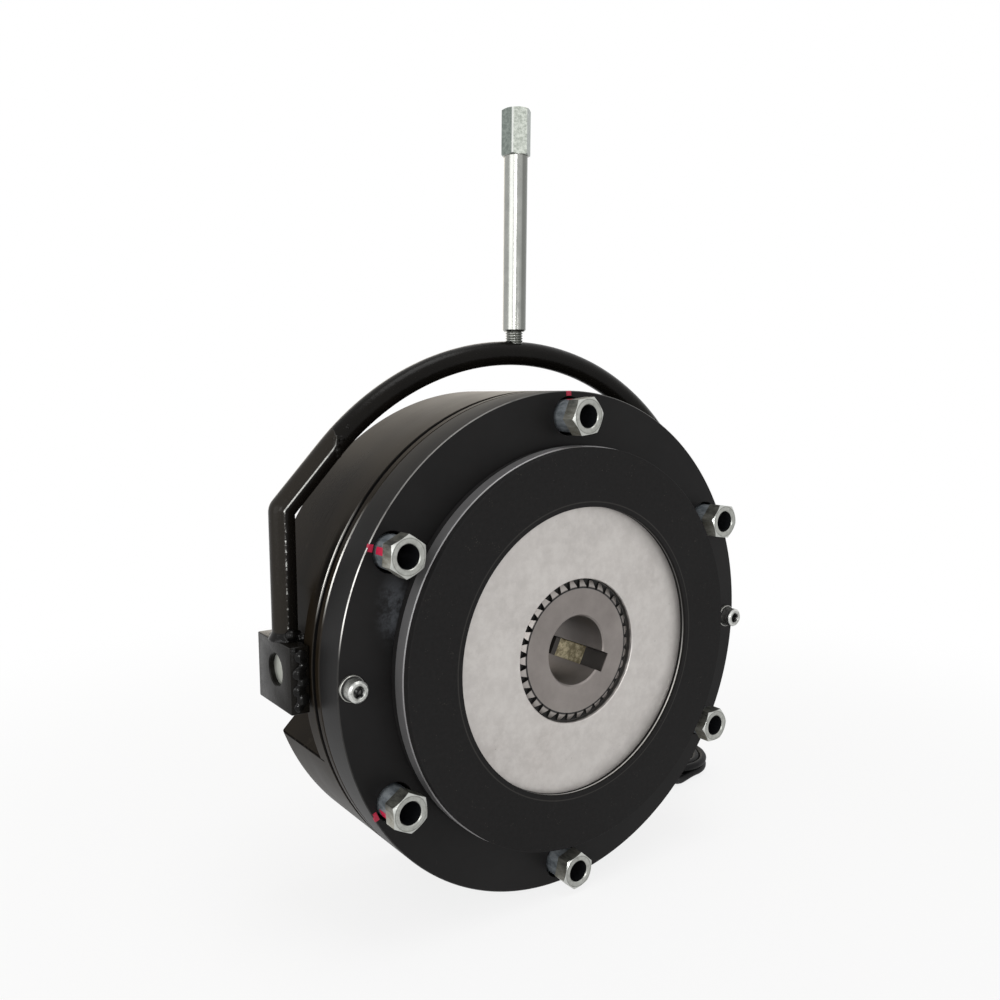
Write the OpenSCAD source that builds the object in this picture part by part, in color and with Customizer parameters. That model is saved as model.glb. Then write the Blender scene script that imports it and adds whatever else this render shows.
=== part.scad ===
// Spring applied electromagnetic brake with hand release, in millimetres.
// The brake axis is Y. The mounting plane is y = 0 and the brake's front looks along -Y.
// +X is right and +Z is up in the front view, and angles are counted from +X towards +Z.

/* [Body] */
// Outer diameter of the stator and the armature plate
body_d = 254; // [234:1:274]
// Length of the stator along the axis
stator_l = 60.6; // [54:0.2:70]
// Diameter of the stator's central bore
stator_bore_d = 80; // [78:1:86]
// Chamfer on the outer edges of the stator and the armature
edge_chamfer = 1; // [0.4:0.1:1.6]
// Length of the stator's front lip, in front of the groove
lip_l = 3.8; // [3:0.1:5]
// Width of the groove behind the lip
groove_w = 3.2; // [2.6:0.1:4]
// Depth of the groove
groove_depth = 2.5; // [2:0.1:2.6]
// Thickness of the dust seal ring in the groove
seal_d = 2.3; // [1.8:0.1:2.4]

/* [Side notches] */
// Depth of each side notch, in from the rim
notch_depth = 23; // [21:0.5:27]
// Drop of the notch's floor below the pins
notch_drop = 28.6; // [25:0.2:31]
// Slope of the notch's lower wall away from the floor
notch_wall_angle = 45; // [35:1:55]
// Length of the full rim between the groove and the notch
notch_rim_l = 6.1; // [5:0.1:7]
// Room above the cams, under the notch's upper wall
cam_room = 1.6; // [1:0.1:3]
// Room between the yoke's legs and the flats beside them
leg_room = 3.7; // [3.2:0.1:5]

/* [Coil] */
// Inner diameter of the coil slot
coil_slot_id = 124; // [122:1:130]
// Wall between the coil slot and the floor of a side notch
coil_wall = 12; // [6:0.5:16]
// Depth of the coil slot
coil_slot_depth = 38; // [34:0.5:42]
// Thickness of the potting ring that closes the slot
potting_t = 3; // [2:0.1:5]
// Wall of the coil bobbin
bobbin_wall = 1.5; // [1:0.1:2]
// Play of the bobbin in its slot
bobbin_play = 0.3; // [0.2:0.1:0.6]

/* [Armature plate] */
// Thickness of the armature plate
armature_t = 18; // [15:0.5:20]
// Diameter of the armature's central bore
armature_bore_d = 88; // [84:1:96]
// Air gap to the stator while the brake holds
air_gap = 0.4; // [0.3:0.05:0.6]
// Radial play of the armature round each sleeve bolt
sleeve_play = 1.3; // [0.8:0.1:1.6]

/* [Rotor] */
// Gap between the rotor's rim and the hexagons round it
rotor_gap = 4.2; // [2:0.1:12]
// Inner diameter of both linings
lining_id = 144; // [136:1:150]
// Step from the carrier's rim in to the linings' rim
lining_step = 0.5; // [0.2:0.1:1]
// Thickness of each lining
lining_t = 3.75; // [3:0.05:5]
// Thickness of the rotor carrier
carrier_t = 7; // [6:0.1:8]
// Depth of the smooth recess in front of the internal teeth
carrier_recess = 3.6; // [2:0.1:4.4]
// Length of the carrier's boss behind its disc
carrier_boss_l = 8; // [5:0.5:12]
// Wall of the boss outside the internal teeth
carrier_boss_wall = 5.9; // [4:0.1:6.5]
// Depth of the hub's face below the carrier's face
hub_sink = 1.2; // [0:0.1:2]

/* [Hub] */
// Number of teeth on the hub
hub_teeth = 34; // [30:1:35]
// Module of the teeth
hub_module = 2; // [1.9:0.05:2.05]
// Slope of the chamfers on the ends of the teeth
tooth_end_angle = 30; // [20:1:40]
// Length of the hub
hub_l = 40; // [32:0.5:46]
// Bore of the hub
hub_bore_d = 35; // [25:1:38]
// Width of the keyway
key_w = 10; // [8:0.5:12]
// Depth of the keyway beyond the bore
key_depth = 3.3; // [2.5:0.1:4]
// Direction of the keyway in the front view
key_angle = -26; // [-180:1:180]
// Play between the hub's teeth and the carrier's
spline_play = 0.08; // [0.04:0.01:0.1]

/* [Sleeve bolts] */
// Distance of the bolt circle in from the rim
bolt_inset = 12; // [11.5:0.1:15]
// Number of sleeve bolts
bolt_count = 6; // [3:3:6]
// Outer diameter of the sleeve
sleeve_d = 16; // [14:0.5:16]
// Bore of the sleeve, for a size 10 fixing screw
sleeve_bore_d = 11; // [9:0.1:11.4]
// Width across flats of the hexagon
sleeve_af = 17; // [16.5:0.5:18]
// Length of the hexagon
sleeve_hex_l = 7.6; // [6:0.1:9]
// Length of sleeve screwed into the stator
sleeve_seat_l = 22; // [16:0.5:28]
// Diameter of the counterbore at the rear for the fixing screw's head
counterbore_d = 18; // [17:0.5:19]
// Depth of that counterbore
counterbore_l = 10.5; // [8:0.5:12]

/* [Brake springs] */
// Number of brake springs
spring_count = 8; // [6:1:8]
// Diameter of the circle of springs
spring_circle_d = 102; // [100:0.5:104]
// Outer diameter of a spring
spring_d = 11; // [9:0.5:11.5]
// Wire diameter of a spring
spring_wire_d = 2; // [1.6:0.1:2.2]
// Length of a spring while the brake is open
spring_l = 34; // [28:0.5:38]
// Active coils of a spring
spring_coils = 5; // [4:1:6]

/* [Release screws] */
// Distance of the release screws in from the rim
release_inset = 6.5; // [6.3:0.1:8]
// Thread diameter of a release screw
release_screw_d = 6; // [5:0.5:6]
// Diameter of the screw head
release_head_d = 10; // [8.5:0.5:10.5]
// Height of the screw head
release_head_l = 6; // [5:0.1:6.5]
// Width across flats of the socket
socket_af = 5; // [4:0.5:5]
// Outer diameter of the washer
washer_d = 12; // [11:0.2:12.4]
// Thickness of the washer
washer_t = 1.6; // [1:0.1:2]

/* [Release yoke] */
// Diameter of the yoke's round bar
yoke_bar_d = 12; // [10:0.5:13]
// Gap between the rim and the arch
yoke_gap = 13.2; // [12:0.1:18]
// Angle from the horizontal at which the arch becomes straight
yoke_arc_end = 43; // [38:0.5:48]
// Radius of the bend above each leg, to the middle of the bar
yoke_bend_r = 8; // [8:0.5:18]
// Radius of the cams that press on the rim
cam_r = 12.4; // [9:0.1:12.8]
// Angle through which the hand lever tilts to open the brake
release_angle = 5; // [4:0.5:6]
// Gap between the rim and a lug
lug_gap = 0.5; // [0.4:0.1:1.5]
// Thickness of a lug
lug_t = 9; // [7:0.5:11]
// Width of a lug along the axis
lug_w = 37; // [34:0.5:39]
// Height of a lug above the pivot
lug_up = 14; // [13:0.5:17]
// Height of a lug below the pivot
lug_down = 17.5; // [15:0.5:20]
// Radius of the lug's corners
lug_corner_r = 0.8; // [0.5:0.1:4]
// Diameter of the trunnion in the lug
trunnion_d = 14.8; // [13:0.2:15.4]
// Diameter of the trunnion inside the cam
trunnion_neck_d = 11.8; // [10.4:0.2:12.2]
// Depth of the trunnion's end below the lug's outer face
trunnion_sink = 2.5; // [1:0.5:4]

/* [Hand lever] */
// Diameter of the lever's rod
lever_d = 11.8; // [10:0.2:12.8]
// Width across flats of the hexagon head
lever_af = 13; // [13:0.5:16]
// Length of the hexagon head
lever_head_l = 23; // [18:0.5:30]
// Length of the lever with its hexagon head
lever_l = 108.2; // [90:0.2:140]
// Diameter of the threaded stud
stud_d = 9; // [8:0.2:9.6]
// Length of stud that shows between the yoke and the rod
stud_show_l = 6; // [4:0.5:10]

/* [Lead] */
// Diameter of the lead
lead_d = 4.6; // [4:0.1:4.8]
// Direction in which the lead leaves the stator
lead_angle = -38; // [-39:0.5:-37]
// Length of the grommet's taper outside the stator
grommet_l = 14; // [10:0.5:15]

/* [Hidden] */

// Small helpers and fits
eps = 0.01;
round_fn = 96;
facet_fn = 8;
fuse = 0.04;
seat_play = 0.02;
turning_play = 0.08;
screw_play = 0.4;
stop_play = 0.02;

// Stations along the axis
rotor_t = carrier_t + 2 * lining_t;
carrier_y = lining_t;
rear_lining_y = lining_t + carrier_t;
armature_y = rotor_t;
stator_y = armature_y + armature_t + air_gap;
stator_rear_y = stator_y + stator_l;
groove_y = stator_y + lip_l;
notch_y = groove_y + groove_w + notch_rim_l;

bobbin_y = stator_y + potting_t + 2 * seat_play;
bobbin_l = coil_slot_depth - potting_t - 3 * seat_play;

// Radii
body_r = body_d / 2;
notch_floor_x = body_r - notch_depth;
coil_slot_r = notch_floor_x - coil_wall;
seal_r = body_r - groove_depth + seal_d / 2 + seat_play;
bolt_r = body_r - bolt_inset;
bolt_first_angle = 30;
bolt_step = 360 / bolt_count;
hex_corner_r = sleeve_af / sqrt(3);
rotor_r = bolt_r - hex_corner_r - rotor_gap;

// Teeth of the hub and the carrier, with straight flanks
pressure_angle = 20;
pitch_r = hub_teeth * hub_module / 2;
addendum = 0.8 * hub_module;
dedendum = 1.2 * hub_module;
tooth_tip_r = pitch_r + addendum;
tooth_root_r = pitch_r - dedendum;
root_play = 0.25 * hub_module;
carrier_recess_r = tooth_tip_r + root_play + 0.3;
carrier_boss_r = tooth_tip_r + root_play + carrier_boss_wall;
tooth_face_r = tooth_root_r + 1;
hub_blank_r = tooth_tip_r + 1;
tooth_end_l = (hub_blank_r - tooth_face_r) * tan(tooth_end_angle);

// Sleeve bolts
sleeve_end_y = stator_y + sleeve_seat_l;
hex_chamfer_angle = 30;
sleeve_turn = [3, -4, 2, 5, -3, 1];

// Release gear
release_x = body_r - release_inset;
screw_head_y = armature_y - washer_t - release_head_l;
pivot_y = notch_y + cam_r + turning_play;
notch_top_z = cam_r + cam_room;
armature_travel = air_gap - stop_play;
cam_throw = armature_travel / sin(release_angle);
cam_end_x = release_x - trunnion_neck_d / 2 - 1.5;
lug_inner_x = body_r + lug_gap;
lug_outer_x = lug_inner_x + lug_t;
lug_mid_y = pivot_y + 1.5;
screw_slot_d = release_screw_d + 3;
screw_end_y = pivot_y + trunnion_neck_d / 2 + 1;
yoke_r = body_r + yoke_gap + yoke_bar_d / 2;
yoke_leg_x = lug_outer_x - yoke_bar_d / 2 + 0.7;
flat_x = yoke_leg_x - yoke_bar_d / 2 - leg_room;
weld_h = 4.5;
weld_w = 3;

// Lever
crest_z = yoke_r + yoke_bar_d / 2;
rod_z = crest_z + stud_show_l;
stud_depth = 9;
lever_chamfer = 1.2;

// Lead
grommet_y = stator_y + 29;
grommet_flange_d = 14;
grommet_flange_t = 2.5;
spotface_d = grommet_flange_d + 1;
spotface_depth = 0.5;
grommet_bore_d = 8;
grommet_r = body_r - spotface_depth;
grommet_tip_r = grommet_r + grommet_flange_t + grommet_l;
lead_dir = [cos(lead_angle), 0, sin(lead_angle)];
lead_exit = [0, grommet_y, 0] + grommet_tip_r * lead_dir;
// Route of the lead from the grommet's tip down to its coil, chosen by hand
lead_route = concat([lead_exit, lead_exit + 5 * lead_dir], [
    [119.8, 62, -93.7], [123.2, 62.1, -97], [126, 62.3, -101], [128, 62.5, -105.6],
    [129.8, 62.8, -110.4], [132.2, 63.3, -115.2], [135.8, 64, -119.6], [140.4, 64.9, -122.8],
    [145.8, 65.8, -124.5], [151, 66.8, -124.6], [155.5, 67.4, -124.1], [160, 67.6, -123.5]]);
tie_w = 3.6;
tie_t = 1;
tie_play = 0.2;
tie_angle = 205;
floor_z = -body_r;
coil_centre = [160, 95, floor_z + tie_t + tie_play];
coil_mean_r = 25;
coil_band_w = 2.04 * lead_d;
coil_band_h = 2 * lead_d;
end_inset = 1;
end_core_d = 1.9;
end_core_l = 12;
end_spread = 1.1;
end_splay = 5;
end_droop = 18;
ferrule_d = 2.6;
ferrule_l = 7;

// Turns a shape drawn along Z so that it runs along +Y from y
module along_y(y = 0) {
    translate([0, y, 0]) rotate([-90, 0, 0]) children();
}

// Places a shape at radius r and angle a of the front view
module on_circle(a, r) {
    rotate([0, -a, 0]) translate([r, 0, 0]) children();
}

// Repeats a shape round the bolt circle
module on_bolts() {
    for (i = [0 : bolt_count - 1]) on_circle(bolt_first_angle + i * bolt_step, bolt_r) children();
}

// Puts a shape on both sides, mirrored
module both_sides() {
    children();
    mirror([1, 0, 0]) children();
}

// Cylinder along Y from y over a length
module rod_y(d, y, l) {
    along_y(y) cylinder(h = l, d = d, $fn = round_fn);
}

// Flat ring along Y with a chamfer c on both outer edges
module ring_y(d_out, d_in, y, l, c = 0) {
    along_y(y) rotate_extrude($fn = round_fn) polygon([
        [d_in / 2, 0], [d_out / 2 - c, 0], [d_out / 2, c],
        [d_out / 2, l - c], [d_out / 2 - c, l], [d_in / 2, l]]);
}

// Hexagonal prism along Z, with the corners turned down at both ends
module chamfered_hex(af, h, low, high) {
    corner_r = af / sqrt(3);
    drop = (corner_r - af / 2) * tan(hex_chamfer_angle);
    intersection() {
        cylinder(h = h, r = corner_r, $fn = 6);
        rotate_extrude($fn = round_fn) polygon([
            [0, 0], [low ? af / 2 : corner_r, 0], [corner_r + eps, low ? drop : 0],
            [corner_r + eps, high ? h - drop : h], [high ? af / 2 : corner_r, h], [0, h]]);
    }
}

// Outline of a toothed ring with straight flanks, widened by play
function tooth_half_angle(r, play) =
    asin((PI * hub_module / 4 - (r - pitch_r) * tan(pressure_angle) + play) / r);

function toothed_outline(root_r, tip_r, play) = [
    for (i = [0 : hub_teeth - 1])
        let (
            mid = 360 / hub_teeth * i,
            at_root = tooth_half_angle(root_r, play),
            at_tip = tooth_half_angle(tip_r, play)
        )
        each [
            [root_r * cos(mid - at_root), root_r * sin(mid - at_root)],
            [tip_r * cos(mid - at_tip), tip_r * sin(mid - at_tip)],
            [tip_r * cos(mid + at_tip), tip_r * sin(mid + at_tip)],
            [root_r * cos(mid + at_root), root_r * sin(mid + at_root)]
        ]
];

// Points of a tube's rings round the points of a path
function unit(v) = v / norm(v);

function path_tangent(path, i) =
    unit(path[min(i + 1, len(path) - 1)] - path[max(i - 1, 0)]);

function tube_ring(path, i, r, sides, side_dir) =
    let (
        t = path_tangent(path, i),
        u = unit(cross(side_dir, t)),
        v = cross(t, u)
    )
    [for (k = [0 : sides - 1]) path[i] + r * (cos(360 * k / sides) * u + sin(360 * k / sides) * v)];

// Closed tube through all the points of a path
module tube(path, d, sides, side_dir) {
    rings = len(path);
    points = [for (i = [0 : rings - 1]) each tube_ring(path, i, d / 2, sides, side_dir)];
    walls = [
        for (i = [0 : rings - 2])
            for (k = [0 : sides - 1])
                let (a = i * sides + k, b = i * sides + (k + 1) % sides)
                each [[a, a + sides, b + sides], [a, b + sides, b]]
    ];
    near_end = [for (k = [0 : sides - 1]) k];
    far_end = [for (k = [0 : sides - 1]) (rings - 1) * sides + sides - 1 - k];
    polyhedron(points = points, faces = concat(walls, [near_end, far_end]), convexity = 6);
}

// The two prisms that the side notches remove from the stator
module notch_cutters() {
    reach = notch_depth + 10;
    spread = reach * tan(notch_wall_angle);
    cut_l = stator_rear_y - notch_y + 1;
    both_sides() along_y(notch_y) linear_extrude(height = cut_l) mirror([0, 1]) polygon([
        [notch_floor_x, -notch_drop], [notch_floor_x + reach, -notch_drop - spread],
        [notch_floor_x + reach, body_r], [flat_x, body_r],
        [flat_x, notch_top_z], [notch_floor_x, notch_top_z]]);
}

module stator_body() {
    color([0.16, 0.14, 0.12]) difference() {
        along_y(stator_y) rotate_extrude($fn = round_fn) polygon([
            [stator_bore_d / 2, 0], [body_r - edge_chamfer / 2, 0],
            [body_r, edge_chamfer / 2], [body_r, lip_l],
            [body_r - groove_depth, lip_l], [body_r - groove_depth, lip_l + groove_w],
            [body_r, lip_l + groove_w], [body_r, stator_l - edge_chamfer],
            [body_r - edge_chamfer, stator_l], [stator_bore_d / 2 + edge_chamfer, stator_l],
            [stator_bore_d / 2, stator_l - edge_chamfer]]);
        ring_y(2 * coil_slot_r, coil_slot_id, stator_y - eps, coil_slot_depth + eps);
        notch_cutters();
        on_bolts() {
            rod_y(sleeve_d + 2 * seat_play, stator_y - eps, sleeve_seat_l + eps);
            rod_y(sleeve_bore_d, sleeve_end_y - eps, stator_rear_y);
            rod_y(counterbore_d, stator_rear_y - counterbore_l, counterbore_l + eps);
        }
        for (i = [0 : spring_count - 1]) on_circle(360 / spring_count * (i + 0.5), spring_circle_d / 2)
            rod_y(spring_d + 1, stator_y - eps, spring_l + eps);
        both_sides() translate([release_x, 0, 0])
            rod_y(release_screw_d + 2 * screw_play, stator_y - eps, notch_y - stator_y + 2 * eps);
        on_circle(lead_angle, 0) translate([0, grommet_y, 0]) rotate([0, 90, 0]) {
            translate([0, 0, coil_slot_r - spotface_depth])
                cylinder(h = body_r, d = grommet_bore_d, $fn = round_fn);
            translate([0, 0, grommet_r]) cylinder(h = body_r, d = spotface_d, $fn = round_fn);
        }
    }
}

module dust_seal() {
    color([0.09, 0.09, 0.09]) along_y(groove_y + groove_w / 2) rotate_extrude($fn = round_fn)
        translate([seal_r, 0]) circle(d = seal_d, $fn = 32);
}

module coil_bobbin() {
    inner = coil_slot_id / 2 + bobbin_play;
    width = coil_slot_r - bobbin_play - inner;
    color([0.75, 0.72, 0.62]) along_y(bobbin_y) rotate_extrude($fn = round_fn) difference() {
        translate([inner, 0]) square([width, bobbin_l]);
        translate([inner + bobbin_wall, bobbin_wall]) square([width, bobbin_l - 2 * bobbin_wall]);
    }
}

module coil_winding() {
    inner = coil_slot_id / 2 + bobbin_play + bobbin_wall + seat_play;
    outer = coil_slot_r - 2 * bobbin_play;
    end_play = bobbin_wall + seat_play;
    color([0.65, 0.35, 0.2])
        ring_y(2 * outer, 2 * inner, bobbin_y + end_play, bobbin_l - 2 * end_play);
}

module coil_potting() {
    color([0.12, 0.12, 0.13]) ring_y(2 * (coil_slot_r - seat_play), coil_slot_id + 2 * seat_play,
        stator_y + seat_play, potting_t);
}

// Height of the middle of a spring's wire, with a closed coil at each end
function spring_rise(turn) =
    let (pitch = (spring_l - 3 * spring_wire_d) / spring_coils)
    turn < 1 ? spring_wire_d * (turn + 0.5)
    : turn < spring_coils + 1 ? spring_wire_d * 1.5 + pitch * (turn - 1)
    : spring_wire_d * (turn + 0.5 - spring_coils) + pitch * spring_coils;

// Compression spring along Z
module spring_wire() {
    steps = 6;
    path = [
        for (i = [0 : (spring_coils + 2) * steps])
            let (turn = i / steps, r = (spring_d - spring_wire_d) / 2)
            [r * cos(360 * turn), r * sin(360 * turn), spring_rise(turn)]
    ];
    tube(path, spring_wire_d, 5, [0, 0, 1]);
}

module brake_springs() {
    color([0.55, 0.55, 0.56])
        for (i = [0 : spring_count - 1]) on_circle(360 / spring_count * (i + 0.5), spring_circle_d / 2)
            along_y(stator_y) spring_wire();
}

// One hollow sleeve with its hexagon at the mounting plane
module sleeve_bolt() {
    difference() {
        union() {
            along_y() chamfered_hex(sleeve_af, sleeve_hex_l, true, true);
            rod_y(sleeve_d, sleeve_hex_l - eps, sleeve_end_y - sleeve_hex_l - seat_play + eps);
        }
        rod_y(sleeve_bore_d, -1, sleeve_end_y + 2);
    }
}

module sleeve_bolts() {
    color([0.66, 0.67, 0.65]) for (i = [0 : bolt_count - 1])
        on_circle(bolt_first_angle + i * bolt_step, bolt_r)
            rotate([0, sleeve_turn[i % len(sleeve_turn)], 0]) sleeve_bolt();
}

// Strain relief with a plug in the stator's hole, a flange and a taper
module lead_grommet() {
    plug_r = coil_slot_r + seat_play;
    color([0.07, 0.07, 0.07])
        on_circle(lead_angle, 0) translate([0, grommet_y, 0]) rotate([0, 90, 0]) {
            translate([0, 0, plug_r])
                cylinder(h = grommet_r - plug_r + eps, d = grommet_bore_d - 0.1, $fn = round_fn);
            translate([0, 0, grommet_r])
                cylinder(h = grommet_flange_t, d = grommet_flange_d, $fn = round_fn);
            translate([0, 0, grommet_r + grommet_flange_t - eps]) cylinder(h = grommet_l + eps,
                d1 = grommet_bore_d + 1, d2 = lead_d + 1.6, $fn = round_fn);
        }
}

module lead_run() {
    color([0.05, 0.05, 0.05]) tube(lead_route, lead_d, facet_fn, [0, 1, 0]);
}

module lead_coil() {
    color([0.05, 0.05, 0.05]) translate(coil_centre) rotate_extrude($fn = round_fn)
        translate([coil_mean_r - coil_band_w / 2, 0]) square([coil_band_w, coil_band_h]);
}

// Band round the coil's turns
module lead_tie() {
    in_w = coil_band_w + 2 * tie_play;
    in_h = coil_band_h + 2 * tie_play;
    color([0.08, 0.08, 0.08]) translate(coil_centre) rotate([0, 0, tie_angle])
        translate([coil_mean_r, 0, -tie_play]) rotate([90, 0, 0]) translate([0, 0, -tie_w / 2])
            linear_extrude(height = tie_w) difference() {
                translate([-in_w / 2 - tie_t, -tie_t]) square([in_w + 2 * tie_t, in_h + 2 * tie_t]);
                translate([-in_w / 2, 0]) square([in_w, in_h]);
            }
}

// The lead's two cores with their ferrules, where the last turn leaves the coil
module lead_ends() {
    out_r = coil_mean_r + lead_d / 2;
    reach = sqrt(pow(coil_mean_r + coil_band_w / 2, 2) - pow(out_r, 2)) - end_inset;
    color([0.7, 0.7, 0.7])
        translate(coil_centre + [-reach, out_r, coil_band_h - lead_d / 2])
            for (side = [-1, 1]) translate([0, side * end_spread, 0])
                rotate([0, -90 - end_droop, -side * end_splay]) {
                    cylinder(h = end_core_l, d = end_core_d, $fn = 24);
                    translate([0, 0, end_core_l - eps]) cylinder(h = ferrule_l, d = ferrule_d, $fn = 24);
                }
}

module hub() {
    hub_y = carrier_y + hub_sink;
    color([0.56, 0.53, 0.52]) difference() {
        intersection() {
            along_y(hub_y) linear_extrude(height = hub_l)
                polygon(toothed_outline(tooth_root_r, tooth_tip_r, 0));
            along_y(hub_y) rotate_extrude($fn = round_fn) polygon([
                [0, 0], [tooth_face_r, 0], [hub_blank_r, tooth_end_l],
                [hub_blank_r, hub_l - tooth_end_l], [tooth_face_r, hub_l], [0, hub_l]]);
        }
        rod_y(hub_bore_d, hub_y - 1, hub_l + 2);
        on_circle(key_angle, 0) translate([0, hub_y - 1, -key_w / 2])
            cube([hub_bore_d / 2 + key_depth, hub_l + 2, key_w]);
    }
}

module rotor_carrier() {
    color([0.7, 0.69, 0.67]) difference() {
        union() {
            rod_y(2 * rotor_r, carrier_y, carrier_t);
            rod_y(2 * carrier_boss_r, carrier_y + carrier_t - eps, carrier_boss_l + eps);
        }
        rod_y(2 * carrier_recess_r, carrier_y - 1, carrier_recess + 1);
        along_y(carrier_y + carrier_recess - 1) linear_extrude(height = carrier_t + carrier_boss_l + 1)
            polygon(toothed_outline(tooth_root_r + root_play, tooth_tip_r + root_play, spline_play));
    }
}

module lining(y) {
    ring_y(2 * (rotor_r - lining_step), lining_id, y, lining_t);
}

module front_lining() {
    color([0.1, 0.1, 0.1]) lining(0);
}

module rear_lining() {
    color([0.1, 0.1, 0.1]) lining(rear_lining_y);
}

module armature_plate() {
    color([0.13, 0.13, 0.13]) difference() {
        ring_y(body_d, armature_bore_d, armature_y, armature_t, edge_chamfer / 2);
        on_bolts() rod_y(sleeve_d + 2 * sleeve_play, armature_y - 1, armature_t + 2);
        both_sides() translate([release_x, 0, 0])
            rod_y(release_screw_d + 2 * screw_play, armature_y - 1, armature_t + 2);
    }
}

module release_screw() {
    difference() {
        union() {
            rod_y(release_head_d, screw_head_y, release_head_l);
            rod_y(release_screw_d, armature_y - washer_t - eps, screw_end_y - armature_y + washer_t);
        }
        along_y(screw_head_y - eps) cylinder(h = release_head_l / 2, r = socket_af / sqrt(3), $fn = 6);
    }
}

module release_screws() {
    color([0.68, 0.68, 0.66]) both_sides() translate([release_x, 0, 0]) release_screw();
}

module release_washers() {
    color([0.66, 0.67, 0.65]) both_sides() translate([release_x, 0, 0])
        ring_y(washer_d, release_screw_d + 2 * seat_play, armature_y - washer_t, washer_t);
}

// Pin that carries a lug and holds the release screw's thread
module trunnion_pins() {
    color([0.62, 0.62, 0.6]) both_sides() difference() {
        union() {
            translate([cam_end_x, pivot_y, 0]) rotate([0, 90, 0])
                cylinder(h = lug_inner_x - cam_end_x + 1, d = trunnion_neck_d, $fn = round_fn);
            translate([lug_inner_x + turning_play, pivot_y, 0]) rotate([0, 90, 0])
                cylinder(h = lug_t - trunnion_sink - turning_play, d = trunnion_d, $fn = round_fn);
        }
        translate([release_x, 0, 0])
            rod_y(release_screw_d + 2 * seat_play, pivot_y - trunnion_d, 2 * trunnion_d);
    }
}

// Straight length of the yoke's bar from p to q in the plane of the yoke
module bar_between(p, q) {
    run = q - p;
    translate([p[0], pivot_y, p[1]]) rotate([0, atan2(run[0], run[1]), 0])
        cylinder(h = norm(run), d = yoke_bar_d, $fn = round_fn);
}

// Bend of the yoke's bar, a piece of a torus round centre c from angle a to angle b
module bar_bend(c, r, a, b) {
    translate([c[0], pivot_y, c[1]]) rotate([90, 0, 0]) rotate([0, 0, a])
        rotate_extrude(angle = b - a, $fn = round_fn) translate([r, 0]) circle(d = yoke_bar_d, $fn = 48);
}

// The bar's right half runs up the leg, round the bend and along a straight piece to the arch
arc_end = [yoke_r * cos(yoke_arc_end), yoke_r * sin(yoke_arc_end)];
slant = 90 - yoke_arc_end;
corner = [yoke_leg_x, arc_end[1] - (yoke_leg_x - arc_end[0]) * tan(slant)];
bend_turn = 90 - slant;
bend_tangent = yoke_bend_r * tan(bend_turn / 2);
leg_top = [yoke_leg_x, corner[1] - bend_tangent];
slant_low = corner + bend_tangent * [-cos(slant), sin(slant)];
bend_centre = [yoke_leg_x - yoke_bend_r, leg_top[1]];

module release_yoke() {
    color([0.06, 0.06, 0.06]) difference() {
        union() {
            bar_bend([0, 0], yoke_r, yoke_arc_end, 180 - yoke_arc_end);
            both_sides() {
                bar_between(slant_low, arc_end);
                bar_bend(bend_centre, yoke_bend_r, 0, bend_turn);
                bar_between([yoke_leg_x, lug_up], leg_top);
                for (p = [leg_top, slant_low, arc_end]) translate([p[0], pivot_y, p[1]])
                    sphere(d = yoke_bar_d + 2 * fuse, $fn = 48);
            }
        }
        translate([0, pivot_y, crest_z - stud_depth]) cylinder(h = stud_depth + 5,
            d = stud_d + 2 * seat_play, $fn = round_fn);
    }
}

// Rectangle with round corners in the lug's own plane
module lug_outline() {
    w = lug_w - 2 * lug_corner_r;
    h = lug_up + lug_down - 2 * lug_corner_r;
    low = [-lug_w / 2, -lug_down];
    translate(low + [lug_corner_r, 0]) square([w, h + 2 * lug_corner_r]);
    translate(low + [0, lug_corner_r]) square([w + 2 * lug_corner_r, h]);
    for (i = [0, 1]) for (j = [0, 1])
        translate(low + [lug_corner_r + i * w, lug_corner_r + j * h]) circle(r = lug_corner_r, $fn = 32);
}

// Plate with its trunnion hole, and the cam that presses on the rim
module lug() {
    difference() {
        union() {
            translate([lug_inner_x, lug_mid_y, 0]) rotate([90, 0, 90])
                linear_extrude(height = lug_t) lug_outline();
            translate([cam_end_x, pivot_y, 0]) rotate([90, 0, 90])
                linear_extrude(height = lug_inner_x - cam_end_x + eps) {
                    circle(r = cam_r, $fn = round_fn);
                    translate([0, -cam_throw]) circle(r = cam_r, $fn = round_fn);
                    translate([-cam_r, -cam_throw]) square([2 * cam_r, cam_throw]);
                }
        }
        translate([cam_end_x - 1, pivot_y, 0]) rotate([0, 90, 0])
            cylinder(h = lug_outer_x, d = trunnion_neck_d + 2 * turning_play, $fn = round_fn);
        translate([lug_inner_x, pivot_y, 0]) rotate([0, 90, 0])
            cylinder(h = lug_t + 1, d = trunnion_d + 2 * turning_play, $fn = round_fn);
        translate([release_x, 0, 0]) rod_y(screw_slot_d, pivot_y - lug_w, 2 * lug_w);
    }
}

module right_lug() {
    color([0.08, 0.08, 0.08]) lug();
}

module left_lug() {
    color([0.08, 0.08, 0.08]) mirror([1, 0, 0]) lug();
}

// Weld fillet round the foot of each leg
module yoke_welds() {
    color([0.07, 0.07, 0.07]) both_sides() translate([yoke_leg_x, pivot_y, lug_up]) difference() {
        cylinder(h = weld_h, d1 = yoke_bar_d + 2 * weld_w, d2 = yoke_bar_d + 0.8, $fn = round_fn);
        translate([0, 0, -1]) cylinder(h = weld_h + 2, d = yoke_bar_d + 2 * seat_play, $fn = round_fn);
        translate([lug_outer_x - yoke_leg_x, -lug_w, -1]) cube([lug_w, 2 * lug_w, weld_h + 2]);
    }
}

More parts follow.
